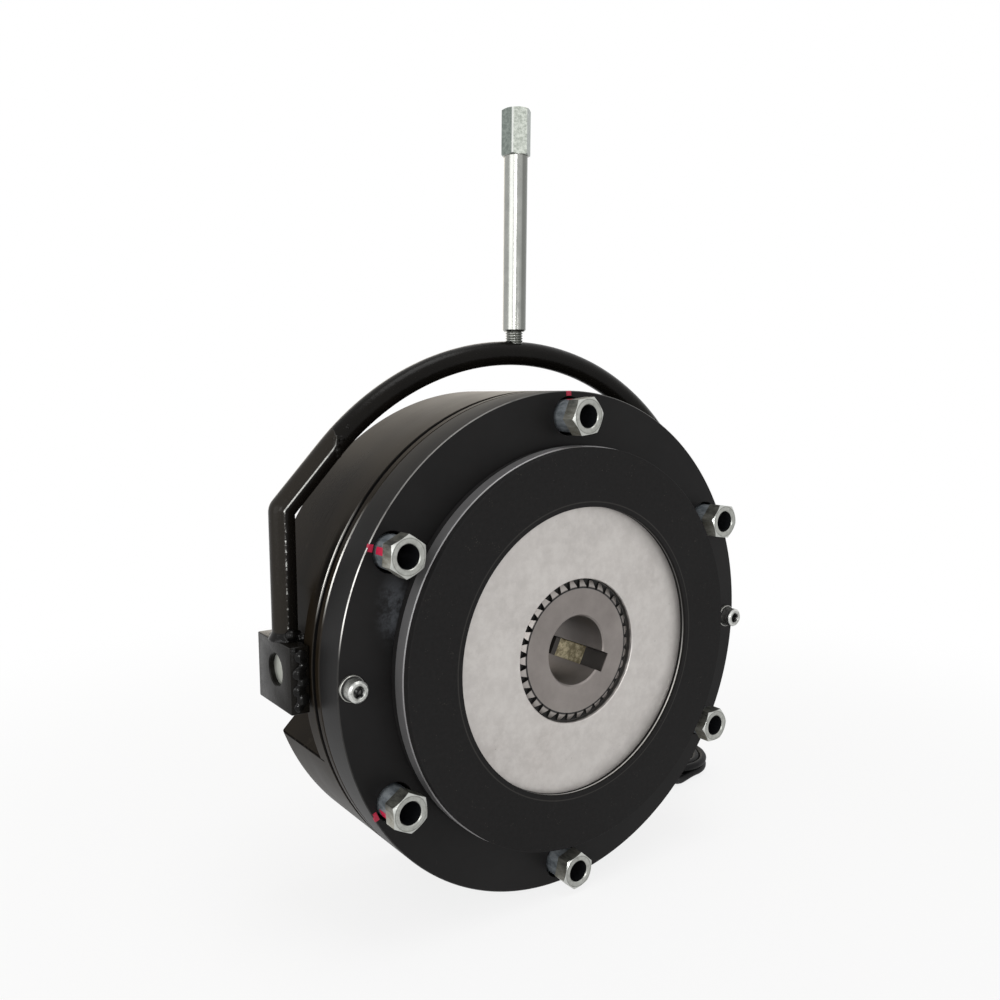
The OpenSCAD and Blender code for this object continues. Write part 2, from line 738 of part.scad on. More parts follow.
module release_lever() {
    head_z = rod_z + lever_l - lever_head_l;
    color([0.72, 0.73, 0.72]) translate([0, pivot_y, 0]) {
        translate([0, 0, crest_z - stud_depth + 0.5]) cylinder(h = rod_z - crest_z + stud_depth,
            d = stud_d, $fn = round_fn);
        translate([0, 0, rod_z]) rotate_extrude($fn = round_fn) polygon([
            [0, 0], [lever_d / 2 - lever_chamfer, 0], [lever_d / 2, lever_chamfer],
            [lever_d / 2, head_z - rod_z + eps], [0, head_z - rod_z + eps]]);
        translate([0, 0, head_z]) chamfered_hex(lever_af, lever_head_l, true, true);
    }
}

stator_body();
dust_seal();
coil_bobbin();
coil_winding();
coil_potting();
brake_springs();
sleeve_bolts();
lead_grommet();
lead_run();
lead_coil();
lead_tie();
lead_ends();
hub();
rotor_carrier();
front_lining();
rear_lining();
armature_plate();
release_screws();
release_washers();
trunnion_pins();
release_yoke();
left_lug();
right_lug();
yoke_welds();
release_lever();
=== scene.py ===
# Spring applied disc brake with hand release, dressed over its CAD frame
import math
import bpy
from mathutils import Matrix, Vector


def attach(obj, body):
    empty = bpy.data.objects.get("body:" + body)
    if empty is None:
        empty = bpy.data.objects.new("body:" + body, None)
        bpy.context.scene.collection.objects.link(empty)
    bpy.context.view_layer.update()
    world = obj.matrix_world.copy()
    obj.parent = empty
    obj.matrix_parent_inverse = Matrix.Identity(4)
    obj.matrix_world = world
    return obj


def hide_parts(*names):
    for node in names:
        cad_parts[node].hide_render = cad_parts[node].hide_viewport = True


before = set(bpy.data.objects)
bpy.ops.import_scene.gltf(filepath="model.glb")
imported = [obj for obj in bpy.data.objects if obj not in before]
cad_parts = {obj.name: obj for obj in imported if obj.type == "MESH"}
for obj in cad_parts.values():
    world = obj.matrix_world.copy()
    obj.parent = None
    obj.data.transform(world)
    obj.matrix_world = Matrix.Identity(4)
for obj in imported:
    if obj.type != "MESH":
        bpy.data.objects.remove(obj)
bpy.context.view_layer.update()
print("frame loaded:", len(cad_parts), "nodes")

mm = 0.001  # the pieces' sizes are given in mm and drawn in metres
quarter = math.radians(90)


# Hand tools for modelling
def clearSelection():
    if bpy.context.object and bpy.context.object.mode != "OBJECT":
        bpy.ops.object.mode_set(mode="OBJECT")
    bpy.ops.object.select_all(action="DESELECT")


def pickUp(piece):  # only this piece is selected and active
    clearSelection()
    piece.select_set(True)
    bpy.context.view_layer.objects.active = piece


def editMode(piece, kind="VERT"):
    pickUp(piece)
    bpy.ops.object.mode_set(mode="EDIT")
    bpy.ops.mesh.select_mode(type=kind)


def editAll(piece):
    editMode(piece)
    bpy.ops.mesh.select_all(action="SELECT")


def objectMode():
    bpy.ops.object.mode_set(mode="OBJECT")


def settle(piece, name=None):  # place, turn and scale go into the mesh
    pickUp(piece)
    bpy.ops.object.transform_apply(location=True, rotation=True, scale=True)
    if name:
        piece.name = name
        piece.data.name = name
    return piece


def putAt(piece, matrix):
    piece.matrix_world = matrix
    return settle(piece)


def tidyMesh(piece, gap=0.002):  # points closer than the gap in mm become one
    editAll(piece)
    bpy.ops.mesh.remove_doubles(threshold=gap * mm)
    bpy.ops.mesh.normals_make_consistent(inside=False)
    objectMode()
    return piece


def drawLine(name, corners, closed=True):  # one vertex, pulled from corner to corner
    clearSelection()
    bpy.ops.mesh.primitive_plane_add(size=mm, location=(0, 0, 0))
    piece = bpy.context.object
    piece.name = name
    corners = [Vector(corner) for corner in corners]
    editAll(piece)
    bpy.ops.mesh.merge(type="CENTER")
    bpy.ops.transform.translate(value=corners[0])
    for here, there in zip(corners, corners[1:] + corners[:1] * closed):
        bpy.ops.mesh.extrude_vertices_move(TRANSFORM_OT_translate={"value": there - here})
    bpy.ops.mesh.select_all(action="SELECT")
    bpy.ops.mesh.remove_doubles(threshold=0.001 * mm)  # the last point lies on the first one
    objectMode()
    return piece


def turnOnLathe(name, profile, steps=192):  # profile: (radius, distance along the brake's axis)
    closed = not (profile[0][0] == 0 and profile[-1][0] == 0)
    piece = drawLine(name, [(r * mm, y * mm, 0) for r, y in profile], closed)
    editAll(piece)
    bpy.ops.mesh.spin(steps=steps, angle=math.tau, center=(0, 0, 0), axis=(0, 1, 0))
    objectMode()
    return tidyMesh(piece)


def fillAndPush(piece, move):  # a closed line becomes a bar
    editAll(piece)
    bpy.ops.mesh.edge_face_add()
    bpy.ops.mesh.extrude_region_move(TRANSFORM_OT_translate={"value": [v * mm for v in move]})
    bpy.ops.mesh.select_all(action="SELECT")
    bpy.ops.mesh.normals_make_consistent(inside=False)
    objectMode()
    return piece


def pushOut(name, outline, start, end):  # outline in x and z, pushed along the brake's axis
    line = drawLine(name, [(x * mm, start * mm, z * mm) for x, z in outline])
    return fillAndPush(line, (0, end - start, 0))


def circlePoints(radius, degrees):
    return [(radius * math.cos(math.radians(a)), radius * math.sin(math.radians(a))) for a in degrees]


def finishWith(piece, kind, **settings):
    pickUp(piece)
    modifier = piece.modifiers.new(kind.lower(), kind)
    for key, value in settings.items():
        setattr(modifier, key, value)
    bpy.ops.object.modifier_apply(modifier=modifier.name)
    return piece


def joinUp(pieces, name):
    clearSelection()
    for piece in pieces:
        piece.select_set(True)
    bpy.context.view_layer.objects.active = pieces[0]
    bpy.ops.object.join()
    pieces[0].name = name
    pieces[0].data.name = name
    return pieces[0]


def cutWith(piece, *cutters, operation="DIFFERENCE"):
    cutter = joinUp(cutters, "cutter") if len(cutters) > 1 else cutters[0]
    finishWith(piece, "BOOLEAN", object=cutter, operation=operation, solver="EXACT")
    bpy.data.objects.remove(cutter)
    return piece


def drill(across, start, end, flare=None, steps=64):  # a cutter for a hole, flared for a countersink
    r = across / 2
    mouth = [(r + flare + 1, start - 1), (r, start + flare)] if flare else [(r, start - 1)]
    return turnOnLathe("drill", [(0, start - 1), *mouth, (r, end), (0, end)], steps)


def smooth(piece, angle=32):
    pickUp(piece)
    bpy.ops.object.shade_smooth_by_angle(angle=math.radians(angle))
    return piece


def softenEdges(piece, width):  # a small round on the sharp edges
    finishWith(piece, "BEVEL", width=width * mm, segments=2, limit_method="ANGLE",
               angle_limit=math.radians(50), use_clamp_overlap=True, harden_normals=False)
    return smooth(piece)


def copyTo(piece, matrix):
    pickUp(piece)
    bpy.ops.object.duplicate(linked=False)
    copy = bpy.context.object
    return putAt(copy, matrix @ copy.matrix_world)


def spread(piece, places):  # one copy at each place, and the first one goes
    copies = [copyTo(piece, place) for place in places]
    bpy.data.objects.remove(piece)
    return copies


def mirrored(piece, name):  # the same piece on the other side of the brake
    copy = copyTo(piece, Matrix.Scale(-1, 4, (1, 0, 0)))
    copy.name = name
    return tidyMesh(copy)


def roundCord(name, kind, points, across, roundness):  # a curve with a round section
    clearSelection()
    bpy.ops.curve.primitive_bezier_curve_add(location=(0, 0, 0))
    piece = bpy.context.object
    piece.name = name
    piece.data.splines.clear()
    spline = piece.data.splines.new(kind)
    knots = spline.bezier_points if kind == "BEZIER" else spline.points
    knots.add(len(points) - 1)
    for knot, (x, y, z) in zip(knots, points):
        knot.co = (x * mm, y * mm, z * mm, 1)[:len(knot.co)]
        if kind == "BEZIER":
            knot.handle_left_type = knot.handle_right_type = "AUTO"
    piece.data.bevel_depth = across / 2 * mm
    piece.data.bevel_resolution = roundness
    piece.data.resolution_u = 6
    piece.data.use_fill_caps = True
    return piece


# Places on the brake
def shift(x, y, z):
    return Matrix.Translation((x * mm, y * mm, z * mm))


def aroundAxis(degrees, radius=0.0, turn=0.0):  # to a place on a circle seen from the front
    return (Matrix.Rotation(-math.radians(degrees), 4, "Y") @ shift(radius, 0, 0)
            @ Matrix.Rotation(math.radians(turn), 4, "Y"))


def outwards(y, degrees=0.0):  # what was turned on the lathe now points away from the brake's axis
    return shift(0, y, 0) @ aroundAxis(degrees) @ Matrix.Rotation(-quarter, 4, "Z")


def upright(x, y, z, turn=0.0):  # what was turned on the lathe now stands up
    return shift(x, y, z) @ Matrix.Rotation(math.radians(turn), 4, "Z") @ Matrix.Rotation(quarter, 4, "X")


flange = {"circle": 115, "apart": 60, "first": 30}  # the six sleeve bolts
release = {"circle": 120.5, "apart": 180, "first": 0}  # the two release screws


def onCircle(bolts, k, turn=0.0):
    return aroundAxis(bolts["first"] + bolts["apart"] * k, bolts["circle"], turn)


def allPlaces(bolts):
    return [onCircle(bolts, k) for k in range(360 // bolts["apart"])]


# Camera, placed first, in metres
camera = {"place": (-0.2994, -0.3306, 0.1247), "target": (-0.0763, 0.0, 0.0599),
          "lens": 33.46, "sensor": 36, "shift": (0.0452, 0.0465), "nearest": 0.01}


def aim(thing, place, target):
    thing.rotation_euler = (Vector(target) - Vector(place)).to_track_quat("-Z", "Y").to_euler()


clearSelection()
bpy.ops.object.camera_add(location=camera["place"])
portrait = bpy.context.object
portrait.name = "portraitCamera"
aim(portrait, camera["place"], camera["target"])
portrait.data.sensor_width = camera["sensor"]
portrait.data.lens = camera["lens"]
portrait.data.shift_x, portrait.data.shift_y = camera["shift"]
portrait.data.clip_start = camera["nearest"]
bpy.context.scene.camera = portrait
bpy.context.scene.view_settings.view_transform = "Standard"
print("camera placed")


# Shader tools
class Wire:  # a socket that can be added, multiplied and compared like a number
    def __init__(self, finish, socket):
        self.finish, self.socket = finish, socket

    def maths(self, operation, *values):
        return self.finish.node("ShaderNodeMath", {"operation": operation}, dict(enumerate(values)))

    def __add__(self, other): return self.maths("ADD", self, other)
    def __radd__(self, other): return self.maths("ADD", other, self)
    def __sub__(self, other): return self.maths("SUBTRACT", self, other)
    def __rsub__(self, other): return self.maths("SUBTRACT", other, self)
    def __mul__(self, other): return self.maths("MULTIPLY", self, other)
    def __rmul__(self, other): return self.maths("MULTIPLY", other, self)
    def __pow__(self, other): return self.maths("POWER", self, other)
    def __gt__(self, other): return self.maths("GREATER_THAN", self, other)
    def __lt__(self, other): return self.maths("LESS_THAN", self, other)
    def size(self): return self.maths("ABSOLUTE", self)
    def within(self, low, high): return (self > low) * (self < high)
    def fade(self, low, high): return 1.0 - self.ramp(low, high)

    def ramp(self, low, high):  # 0 below low, 1 above high
        return self.finish.node("ShaderNodeMapRange", {"interpolation_type": "SMOOTHSTEP"},
                                {"Value": self, "From Min": low, "From Max": high})


class Finish:  # the nodes of one material, or of the world
    sockets = {"colour": "Base Color", "roughness": "Roughness", "metallic": "Metallic",
               "specular": "Specular IOR Level"}

    def __init__(self, name, world=None):
        self.material = world or bpy.data.materials.new(name)
        self.material.use_nodes = True
        self.tree = self.material.node_tree
        self.shader = self.tree.nodes.get("Principled BSDF")

    def feed(self, socket, value):
        if isinstance(value, Wire):
            self.tree.links.new(value.socket, socket)
        else:
            socket.default_value = value

    def node(self, kind, settings=None, values=None, output=0):
        new = self.tree.nodes.new(kind)
        for key, value in (settings or {}).items():
            setattr(new, key, value)
        for key, value in (values or {}).items():
            self.feed(new.inputs[key], value)
        return Wire(self, new.outputs[output])

    def place(self):
        return self.node("ShaderNodeTexCoord", output="Object")

    def stretched(self, scale, turn=(0, 0, 0)):
        return self.node("ShaderNodeMapping", {}, {"Vector": self.place(), "Scale": scale,
                                                   "Rotation": turn})

    def noise(self, scale, detail=3.0, roughness=0.55, where=None):
        return self.node("ShaderNodeTexNoise", {}, {"Vector": where or self.place(), "Scale": scale,
                                                    "Detail": detail, "Roughness": roughness})

    def axes(self):  # x, y and z in mm
        split = self.node("ShaderNodeSeparateXYZ", {}, {0: self.stretched((1 / mm,) * 3)})
        return [Wire(self, output) for output in split.socket.node.outputs]

    def radius(self):  # distance from the brake's axis in mm
        x, y, z = self.axes()
        return (x * x + z * z) ** 0.5

    def latheMarks(self, out, along):  # fine rings, with a scale out from the axis and one along it
        where = self.node("ShaderNodeCombineXYZ", {}, {0: self.radius() * out, 1: self.axes()[1] * along})
        return self.noise(1.0, 2, where=where)

    def fromBolt(self, circle, apart, first):  # distance from the nearest bolt and height above it
        x, y, z = self.axes()
        angle = z.maths("ARCTAN2", z, x) - math.radians(first - apart / 2)
        around = angle.maths("WRAP", angle, math.radians(apart), 0.0) - math.radians(apart / 2)
        along = self.radius() * around.maths("COSINE", around) - circle
        across = self.radius() * around.maths("SINE", around)
        nearest = angle - around + math.radians(first - apart / 2)
        height = z - nearest.maths("SINE", nearest) * circle
        return (along * along + across * across) ** 0.5, height

    def blend(self, factor, first, second):  # colours come as wires, or as seen from 0 to 255
        first, second = (tone(*c) if isinstance(c, tuple) else c for c in (first, second))
        return self.node("ShaderNodeMix", {"data_type": "RGBA"}, {0: factor, 6: first, 7: second}, output=2)

    def layers(self, colour, *marks):  # each mark is a mask and the colour that it lays over the rest
        for mask, shade in marks:
            colour = self.blend(mask, colour, shade)
        return colour

    def relief(self, height, strength, depth):  # depth in mm
        bumped = self.node("ShaderNodeBump", {}, {"Height": height, "Strength": strength,
                                                  "Distance": depth * mm})
        self.feed(self.shader.inputs["Normal"], bumped)

    def wear(self, **looks):
        for key, value in looks.items():
            self.feed(self.shader.inputs[self.sockets[key]], value)

    def seenBy(self, *rays):  # 1 for these kinds of ray
        seen, *others = [self.node("ShaderNodeLightPath", output=ray) for ray in rays]
        for other in others:
            seen = seen.maths("MAXIMUM", seen, other)
        return seen


def tone(red, green, blue):
    return tuple((c / 255 / 12.92) if c / 255 <= 0.04045 else ((c / 255 + 0.055) / 1.055) ** 2.4
                 for c in (red, green, blue)) + (1.0,)


def plainFinish(name, dark, light, spots, grain, rough, relief=None, metallic=0.0, specular=0.5):
    finish = Finish(name)  # spots, grain and the relief's first value are the settings of a noise
    finish.wear(colour=finish.blend(finish.noise(*spots), dark, light), metallic=metallic,
                specular=specular, roughness=finish.noise(*grain) * rough[1] + rough[0])
    if relief:
        finish.relief(finish.noise(*relief[0]), *relief[1:])
    return finish


def zincFinish(name, dull, clean, gloss):  # plated steel, and its base colour for what is worn or dirty
    finish = Finish(name)
    cloud = finish.noise(120, 4, 0.6)
    grain = finish.noise(1300, 3, 0.7)
    tarnish = finish.noise(240, 4, 0.7).ramp(0.58, 0.80)
    colour = finish.blend(tarnish * 0.5, finish.blend(cloud, dull, clean), (112, 109, 96))
    finish.wear(colour=colour, metallic=0.95, roughness=cloud * 0.14 + grain * 0.12 + gloss)
    finish.relief(grain * 0.6 + cloud * 0.4, 0.18, 0.12)
    return finish, colour


def dress(piece, finish, body, slot, *nodes):
    piece.data.materials.clear()
    piece.data.materials.append(finish.material)
    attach(piece, body)
    if nodes:
        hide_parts(*nodes)


def dressNode(node, finish):  # a CAD node that stays keeps its shape and gets a finish
    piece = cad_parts[node]
    if not piece.material_slots:
        piece.data.materials.append(finish.material)
    for place in piece.material_slots:
        place.material = finish.material


# The lead, its cores, ferrules and tie
lead = {
    "across": 4.6,    # over the sheath
    "length": 0.633,  # m from the grommet to the sheath's end
    "exit": (112.69, 61.9, -88.04),
    "route": [(116.63, 61.9, -91.12), (119.8, 62, -93.7), (123.2, 62.1, -97), (126, 62.3, -101),
              (128, 62.5, -105.6), (129.8, 62.8, -110.4), (132.2, 63.3, -115.2), (135.8, 64, -119.6),
              (140.4, 64.9, -122.8), (145.8, 65.8, -124.5), (151, 66.8, -124.6), (155.5, 67.4, -124.1)],
    "coilCentre": (160, 95), "outerTurn": 27.3, "innerTurn": 22.7,
    "lowLayer": -123.5, "highLayer": -118.9, "turns": 3.5, "pointsPerTurn": 20,
    "movesIn": (0.84, 0.98), "movesUp": (1.68, 1.84), "movesOut": (2.52, 2.68),  # counted in turns
    "tail": (149.33, 122.3, -118.9),
}


def ease(value, start, end):
    x = min(max((value - start) / (end - start), 0.0), 1.0)
    return x * x * (3 - 2 * x)


def leadRoute():
    points = [lead["exit"], *lead["route"]]
    for k in range(int(lead["turns"] * lead["pointsPerTurn"]) + 1):
        t = k / lead["pointsPerTurn"]
        inward = ease(t, *lead["movesIn"]) - ease(t, *lead["movesOut"])
        r = lead["outerTurn"] + (lead["innerTurn"] - lead["outerTurn"]) * inward
        z = lead["lowLayer"] + (lead["highLayer"] - lead["lowLayer"]) * ease(t, *lead["movesUp"])
        a = math.tau * t - quarter
        points.append((lead["coilCentre"][0] + r * math.cos(a), lead["coilCentre"][1] + r * math.sin(a), z))
    return points + [lead["tail"]]


sheathFinish = plainFinish("leadSheath", (11, 11, 11), (21, 21, 22), (60, 2), (900,), (0.42, 0.15),
                           relief=((900,), 0.25, 0.1), specular=0.12)
sheath = roundCord("leadSheath", "BEZIER", leadRoute(), lead["across"], 6)
dress(sheath, sheathFinish, "stator", "lead_sheath", "lead_run", "lead_coil")
print("lead laid")

wireEnd = {"apart": 1.1, "droop": 18, "splay": 5, "core": (1.9, 12), "ferrule": (2.6, 7)}


def wireEndAt(side):
    r, long = wireEnd["core"][0] / 2, wireEnd["core"][1]
    big, cap = wireEnd["ferrule"][0] / 2, wireEnd["ferrule"][1]
    core = turnOnLathe("leadCore", [(0, 0), (r, 0), (r, long), (0, long)], 24)
    crimp = turnOnLathe("leadFerrule", [(0, long - 0.2), (big * 0.75, long - 0.2), (big, long + 0.2),
                        (big, long + 1.6), (big * 0.8, long + 2.2), (big * 0.74, long + cap - 0.3),
                        (big * 0.6, long + cap), (0, long + cap)], 24)
    x, y, z = lead["tail"]
    place = (shift(x, y + side * wireEnd["apart"], z)
             @ Matrix.Rotation(-math.radians(side * wireEnd["splay"]), 4, "Z")
             @ Matrix.Rotation(-math.radians(wireEnd["droop"]), 4, "Y") @ Matrix.Rotation(quarter, 4, "Z"))
    return [smooth(putAt(piece, place)) for piece in (core, crimp)]


cores, ferrules = zip(wireEndAt(1), wireEndAt(-1))
cores = joinUp(cores, "leadCores")
ferrules = joinUp(ferrules, "leadFerrules")
coreFinish = plainFinish("coreSheath", (30, 30, 32), (48, 48, 50), (300,), (900,), (0.42, 0.1))
tinFinish = plainFinish("ferruleTin", (190, 190, 188), (214, 214, 210), (400,), (700,), (0.25, 0.2),
                        metallic=1.0)
tieFinish = plainFinish("tieNylon", (28, 28, 28), (40, 40, 41), (500,), (1200,), (0.4, 0.15),
                        relief=((1500,), 0.15, 0.1))
dress(cores, coreFinish, "stator", "lead_sheath", "lead_ends")
dress(ferrules, tinFinish, "stator", "ferrule_tin", "lead_ends")
dressNode("lead_tie", tieFinish)


# Stator, the magnet housing
stator = {"front": 32.9, "rear": 93.5, "radius": 127, "bore": 40, "slot": (62, 92, 70.9),
          "groove": (36.7, 39.9, 124.5), "frontEdge": 0.5, "rearEdge": 1.2,
          "sleeveSeat": (8.02, 54.9), "bolt": 5.5, "counterbore": (9, 83), "screwHole": (6.8, 51),
          "springCircle": 51, "springs": 8, "springHole": (6, 34), "leadPlace": (61.9, -38),
          "leadHole": (4, 7.5, 126.5), "notchStart": 49, "notchFloor": 104, "notchDrop": -28.6,
          "notchTop": 14, "legFlat": 121.5, "slant": 33}

front, rear, rim, bore = (stator[key] for key in ("front", "rear", "radius", "bore"))
grooveFront, grooveRear, grooveFloor = stator["groove"]
notchFloor, notchDrop = stator["notchFloor"], stator["notchDrop"]

enamel = Finish("housingEnamel")
x, y, z = enamel.axes()
radial = enamel.radius()
turned = enamel.latheMarks(0.9, 2.6)
cloudy = enamel.noise(22, 4, where=enamel.stretched((1, 2.2, 1)))
streaks = enamel.noise(9, 5, 0.6, where=enamel.stretched((1, 0.4, 1)))
dust = enamel.noise(140, 5, 0.65).ramp(0.60, 0.78)
# the housing's upper left, where the painted edge highlight and the painted shade behind the groove go
upperLeft = z.ramp(22, 46) * z.fade(52, 80) * (x < 0.0)
onEdges = y.within(grooveRear - 0.1, grooveRear + 0.6) + y.within(front - 0.1, front + 0.6)
# painted highlight: a bright metallic line on the lip's edges, strong on the upper left and faint elsewhere
lipEdgeGlint = (onEdges * radial.ramp(rim - 0.8, rim - 0.6) * (upperLeft * 0.80 + 0.02)
            * (enamel.noise(90, 3).ramp(0.25, 0.45) * 0.35 + 0.65))
deepShade = (y > grooveRear + 0.6) * y.fade(grooveRear + 2.6, grooveRear + 7.6) * upperLeft
# painted shade: the groove's walls and floor near black
paintedGrooveShade = y.within(grooveFront - 0.05, grooveRear + 0.05) * (radial < rim - 0.24)
corner = x.size() + z - (notchFloor + notchDrop)  # 0 on the notch's slanted wall
# a broken dark line on the rim along the notch's slanted edge
notchEdgeLine = (corner.within(-1.0, 0.2) * (y > stator["notchStart"] - 3.5) * radial.ramp(rim - 0.8, rim - 0.4)
            * enamel.noise(420, 4, 0.7).ramp(0.30, 0.48))
enamel.wear(colour=enamel.layers(enamel.blend(cloudy, (21, 17, 12), (36, 30, 22)),
                                 (dust * 0.25, (66, 60, 52)), (deepShade * 0.85, (5, 5, 5)),
                                 (paintedGrooveShade, (3, 3, 3)), (notchEdgeLine * 0.9, (7, 6, 5)),
                                 (lipEdgeGlint, (205, 203, 198))),
            metallic=lipEdgeGlint * 0.9, specular=0.03,
            roughness=cloudy * 0.12 + streaks * 0.22 + turned * 0.08 + 0.10 + notchEdgeLine * 0.5
            + deepShade * 0.5 + paintedGrooveShade * 0.6)
enamel.relief(turned * 0.5 + cloudy * 0.5, 0.12, 0.1)

slotIn, slotOut, slotDeep = stator["slot"]
edge, rearEdge = stator["frontEdge"], stator["rearEdge"]
housing = turnOnLathe("magnetHousing", [
    (bore, front + 0.5), (bore + 0.5, front), (slotIn, front), (slotIn, slotDeep), (slotOut, slotDeep),
    (slotOut, front), (rim - edge, front), (rim, front + edge), (rim, grooveFront - 0.3),
    (rim - 0.3, grooveFront), (grooveFloor, grooveFront), (grooveFloor, grooveRear),
    (rim - 0.3, grooveRear), (rim, grooveRear + 0.3), (rim, rear - rearEdge),
    (rim - rearEdge * 0.3, rear - rearEdge * 0.3), (rim - rearEdge, rear), (bore + 1, rear),
    (bore, rear - 1)], 240)

(seatR, seatEnd), bolt, (wide, wideFrom) = (stator[key] for key in ("sleeveSeat", "bolt", "counterbore"))
seat = turnOnLathe("seatDrill", [(0, front - 1), (seatR + 1.28, front - 1), (seatR, front + 0.3),
                   (seatR, seatEnd), (bolt, seatEnd), (bolt, wideFrom), (wide, wideFrom),
                   (wide, rear - 0.5), (wide + 1.5, rear + 1), (0, rear + 1)], 64)
seats = spread(seat, allPlaces(flange))
r, deep = stator["springHole"]
springDrill = turnOnLathe("springDrill", [(0, front - 1), (r, front - 1), (r, front + deep),
                                          (0, front + deep)], 48)
apart = 360 / stator["springs"]
springHoles = spread(springDrill, [aroundAxis(apart * (k + 0.5), stator["springCircle"])
                                   for k in range(stator["springs"])])
cutWith(housing, *seats, *springHoles)

legFlat, notchTop, slant = (stator[key] for key in ("legFlat", "notchTop", "slant"))
notch = pushOut("notchCutter", [(notchFloor, notchDrop), (notchFloor + slant, notchDrop - slant),
                                (notchFloor + slant, rim), (legFlat, rim), (legFlat, notchTop),
                                (notchFloor, notchTop)], stator["notchStart"], rear + 5)
cutWith(housing, notch, mirrored(notch, "otherNotch"))
across, deep = stator["screwHole"]
screwDrills = spread(drill(across, front, deep), allPlaces(release))
r, plug, plugSeat = stator["leadHole"]
leadDrill = turnOnLathe("grommetDrill", [(0, 90), (r, 90), (r, plugSeat), (plug, plugSeat), (plug, 135),
                                         (0, 135)], 64)
cutWith(housing, *screwDrills, putAt(leadDrill, outwards(*stator["leadPlace"])))
smooth(tidyMesh(housing, 0.004), 20)
dress(housing, enamel, "stator", "housing_enamel", "stator_body")
print("stator turned")

dressNode("dust_seal", plainFinish("sealRubber", (5, 5, 5), (12, 11, 11), (200,), (900,), (0.88, 0.1),
                                   specular=0.02))
dressNode("coil_bobbin", plainFinish("bobbinPlastic", (44, 42, 38), (58, 55, 50), (90,), (700,),
                                     (0.45, 0.2)))
dressNode("coil_potting", plainFinish("potting", (30, 24, 20), (52, 42, 34), (70, 4), (300,), (0.3, 0.2),
                                      relief=((110, 4), 0.3, 0.4)))
dressNode("brake_springs", plainFinish("springSteel", (78, 78, 80), (118, 118, 118), (300,), (900,),
                                       (0.3, 0.2), metallic=1.0))

copper = Finish("copperWinding")
windings = copper.node("ShaderNodeTexWave", {"wave_type": "BANDS", "bands_direction": "Y"},
                       {"Vector": copper.place(), "Scale": 160.0, "Distortion": 0.6, "Detail": 1.0},
                       output=1)
copper.wear(colour=copper.blend(windings, (104, 52, 26), (188, 104, 58)), metallic=0.9, roughness=0.34)
copper.relief(windings, 0.6, 0.3)
dressNode("coil_winding", copper)


# Grommet, the lead's strain relief
grommet = {"start": 92.2, "throat": 2.35, "shank": 3.95, "flange": (7, 126.5, 129), "neck": (4.5, 3.2, 143),
           "ribs": 4, "firstRib": 2.2, "ribsApart": 2.6, "ribDepth": 0.55}

plug, plugSeat, neckStart = grommet["flange"]
wide, thin, neckEnd = grommet["neck"]
start, throat, shank = (grommet[key] for key in ("start", "throat", "shank"))
profile = [(throat, start), (shank, start), (shank, plugSeat), (plug - 0.4, plugSeat),
           (plug, plugSeat + 0.4), (plug, neckStart - 0.5), (plug - 0.5, neckStart), (wide, neckStart)]
for k in range(grommet["ribs"]):  # shallow bending grooves along the taper
    at = neckStart + grommet["firstRib"] + k * grommet["ribsApart"]
    r = wide + (thin - wide) * (at - neckStart) / (neckEnd - neckStart)
    low = r - grommet["ribDepth"]
    profile += [(r, at), (low, at + 0.35), (low, at + 0.95), (r - 0.06, at + 1.3)]
profile += [(thin, neckEnd - 0.3), (thin - 0.3, neckEnd), (throat, neckEnd)]
strainRelief = smooth(putAt(turnOnLathe("strainRelief", profile, 64), outwards(*stator["leadPlace"])))
dress(strainRelief, tieFinish, "stator", "seal_rubber", "lead_grommet")


# Armature plate
armature = {"front": 14.5, "rear": 32.5, "radius": 127, "bore": 44, "edge": 0.5, "boltHole": 9.3,
            "screwHole": 6.8, "rub": (-98.5, 31)}

front, rear, rim, bore, edge = (armature[key] for key in ("front", "rear", "radius", "bore", "edge"))

oxide = Finish("armatureSteel")
x, y, z = oxide.axes()
radial = oxide.radius()
turned = oxide.latheMarks(1.4, 1.4)
smudge = oxide.noise(16, 5, 0.6)
scuff = oxide.noise(320, 3, 0.7, where=oxide.stretched((1, 1, 0.25), turn=(0, 0.5, 0))).ramp(0.70, 0.86)
frontEdge = radial.ramp(rim - 0.48, rim - 0.36) * y.fade(front + 0.5, front + 0.7)
rearEdge = radial.ramp(rim - 0.60, rim - 0.40) * y.ramp(rear - 0.6, rear - 0.4)
# painted highlight along the plate's front edge, strongest on the left between these heights
brightest = z.ramp(12, 30) * (1.0 - z.ramp(50, 74) * 0.72) * (1.0 - x.ramp(-85, 20) * 0.7)
glint = frontEdge * (brightest * 0.92 + 0.04) * (oxide.noise(150, 3).ramp(0.30, 0.50) * 0.45 + 0.55)
# the edges: mostly painted highlight on the upper left, with a faint bare edge all round
plateEdgeGlint = glint + rearEdge * 0.05
rubX, rubZ = x - armature["rub"][0], z - armature["rub"][1]  # a pale rub mark by the left sleeve
rubMark = (((rubX * rubX + rubZ * rubZ * 0.35) ** 0.5).fade(2, 12) * (y < front + 0.4)
           * oxide.noise(110, 4, 0.7).ramp(0.38, 0.66))
oxide.wear(colour=oxide.layers(oxide.blend(smudge, (12, 12, 12), (34, 33, 33)),
                               (scuff * 0.25, (80, 78, 76)), (rubMark * 0.5, (92, 95, 100)),
                               (plateEdgeGlint, (198, 196, 192))),
           metallic=plateEdgeGlint * 0.9, specular=0.10,
           roughness=smudge * 0.14 + turned * 0.1 + 0.30 - plateEdgeGlint * 0.05)
oxide.relief(turned, 0.10, 0.1)

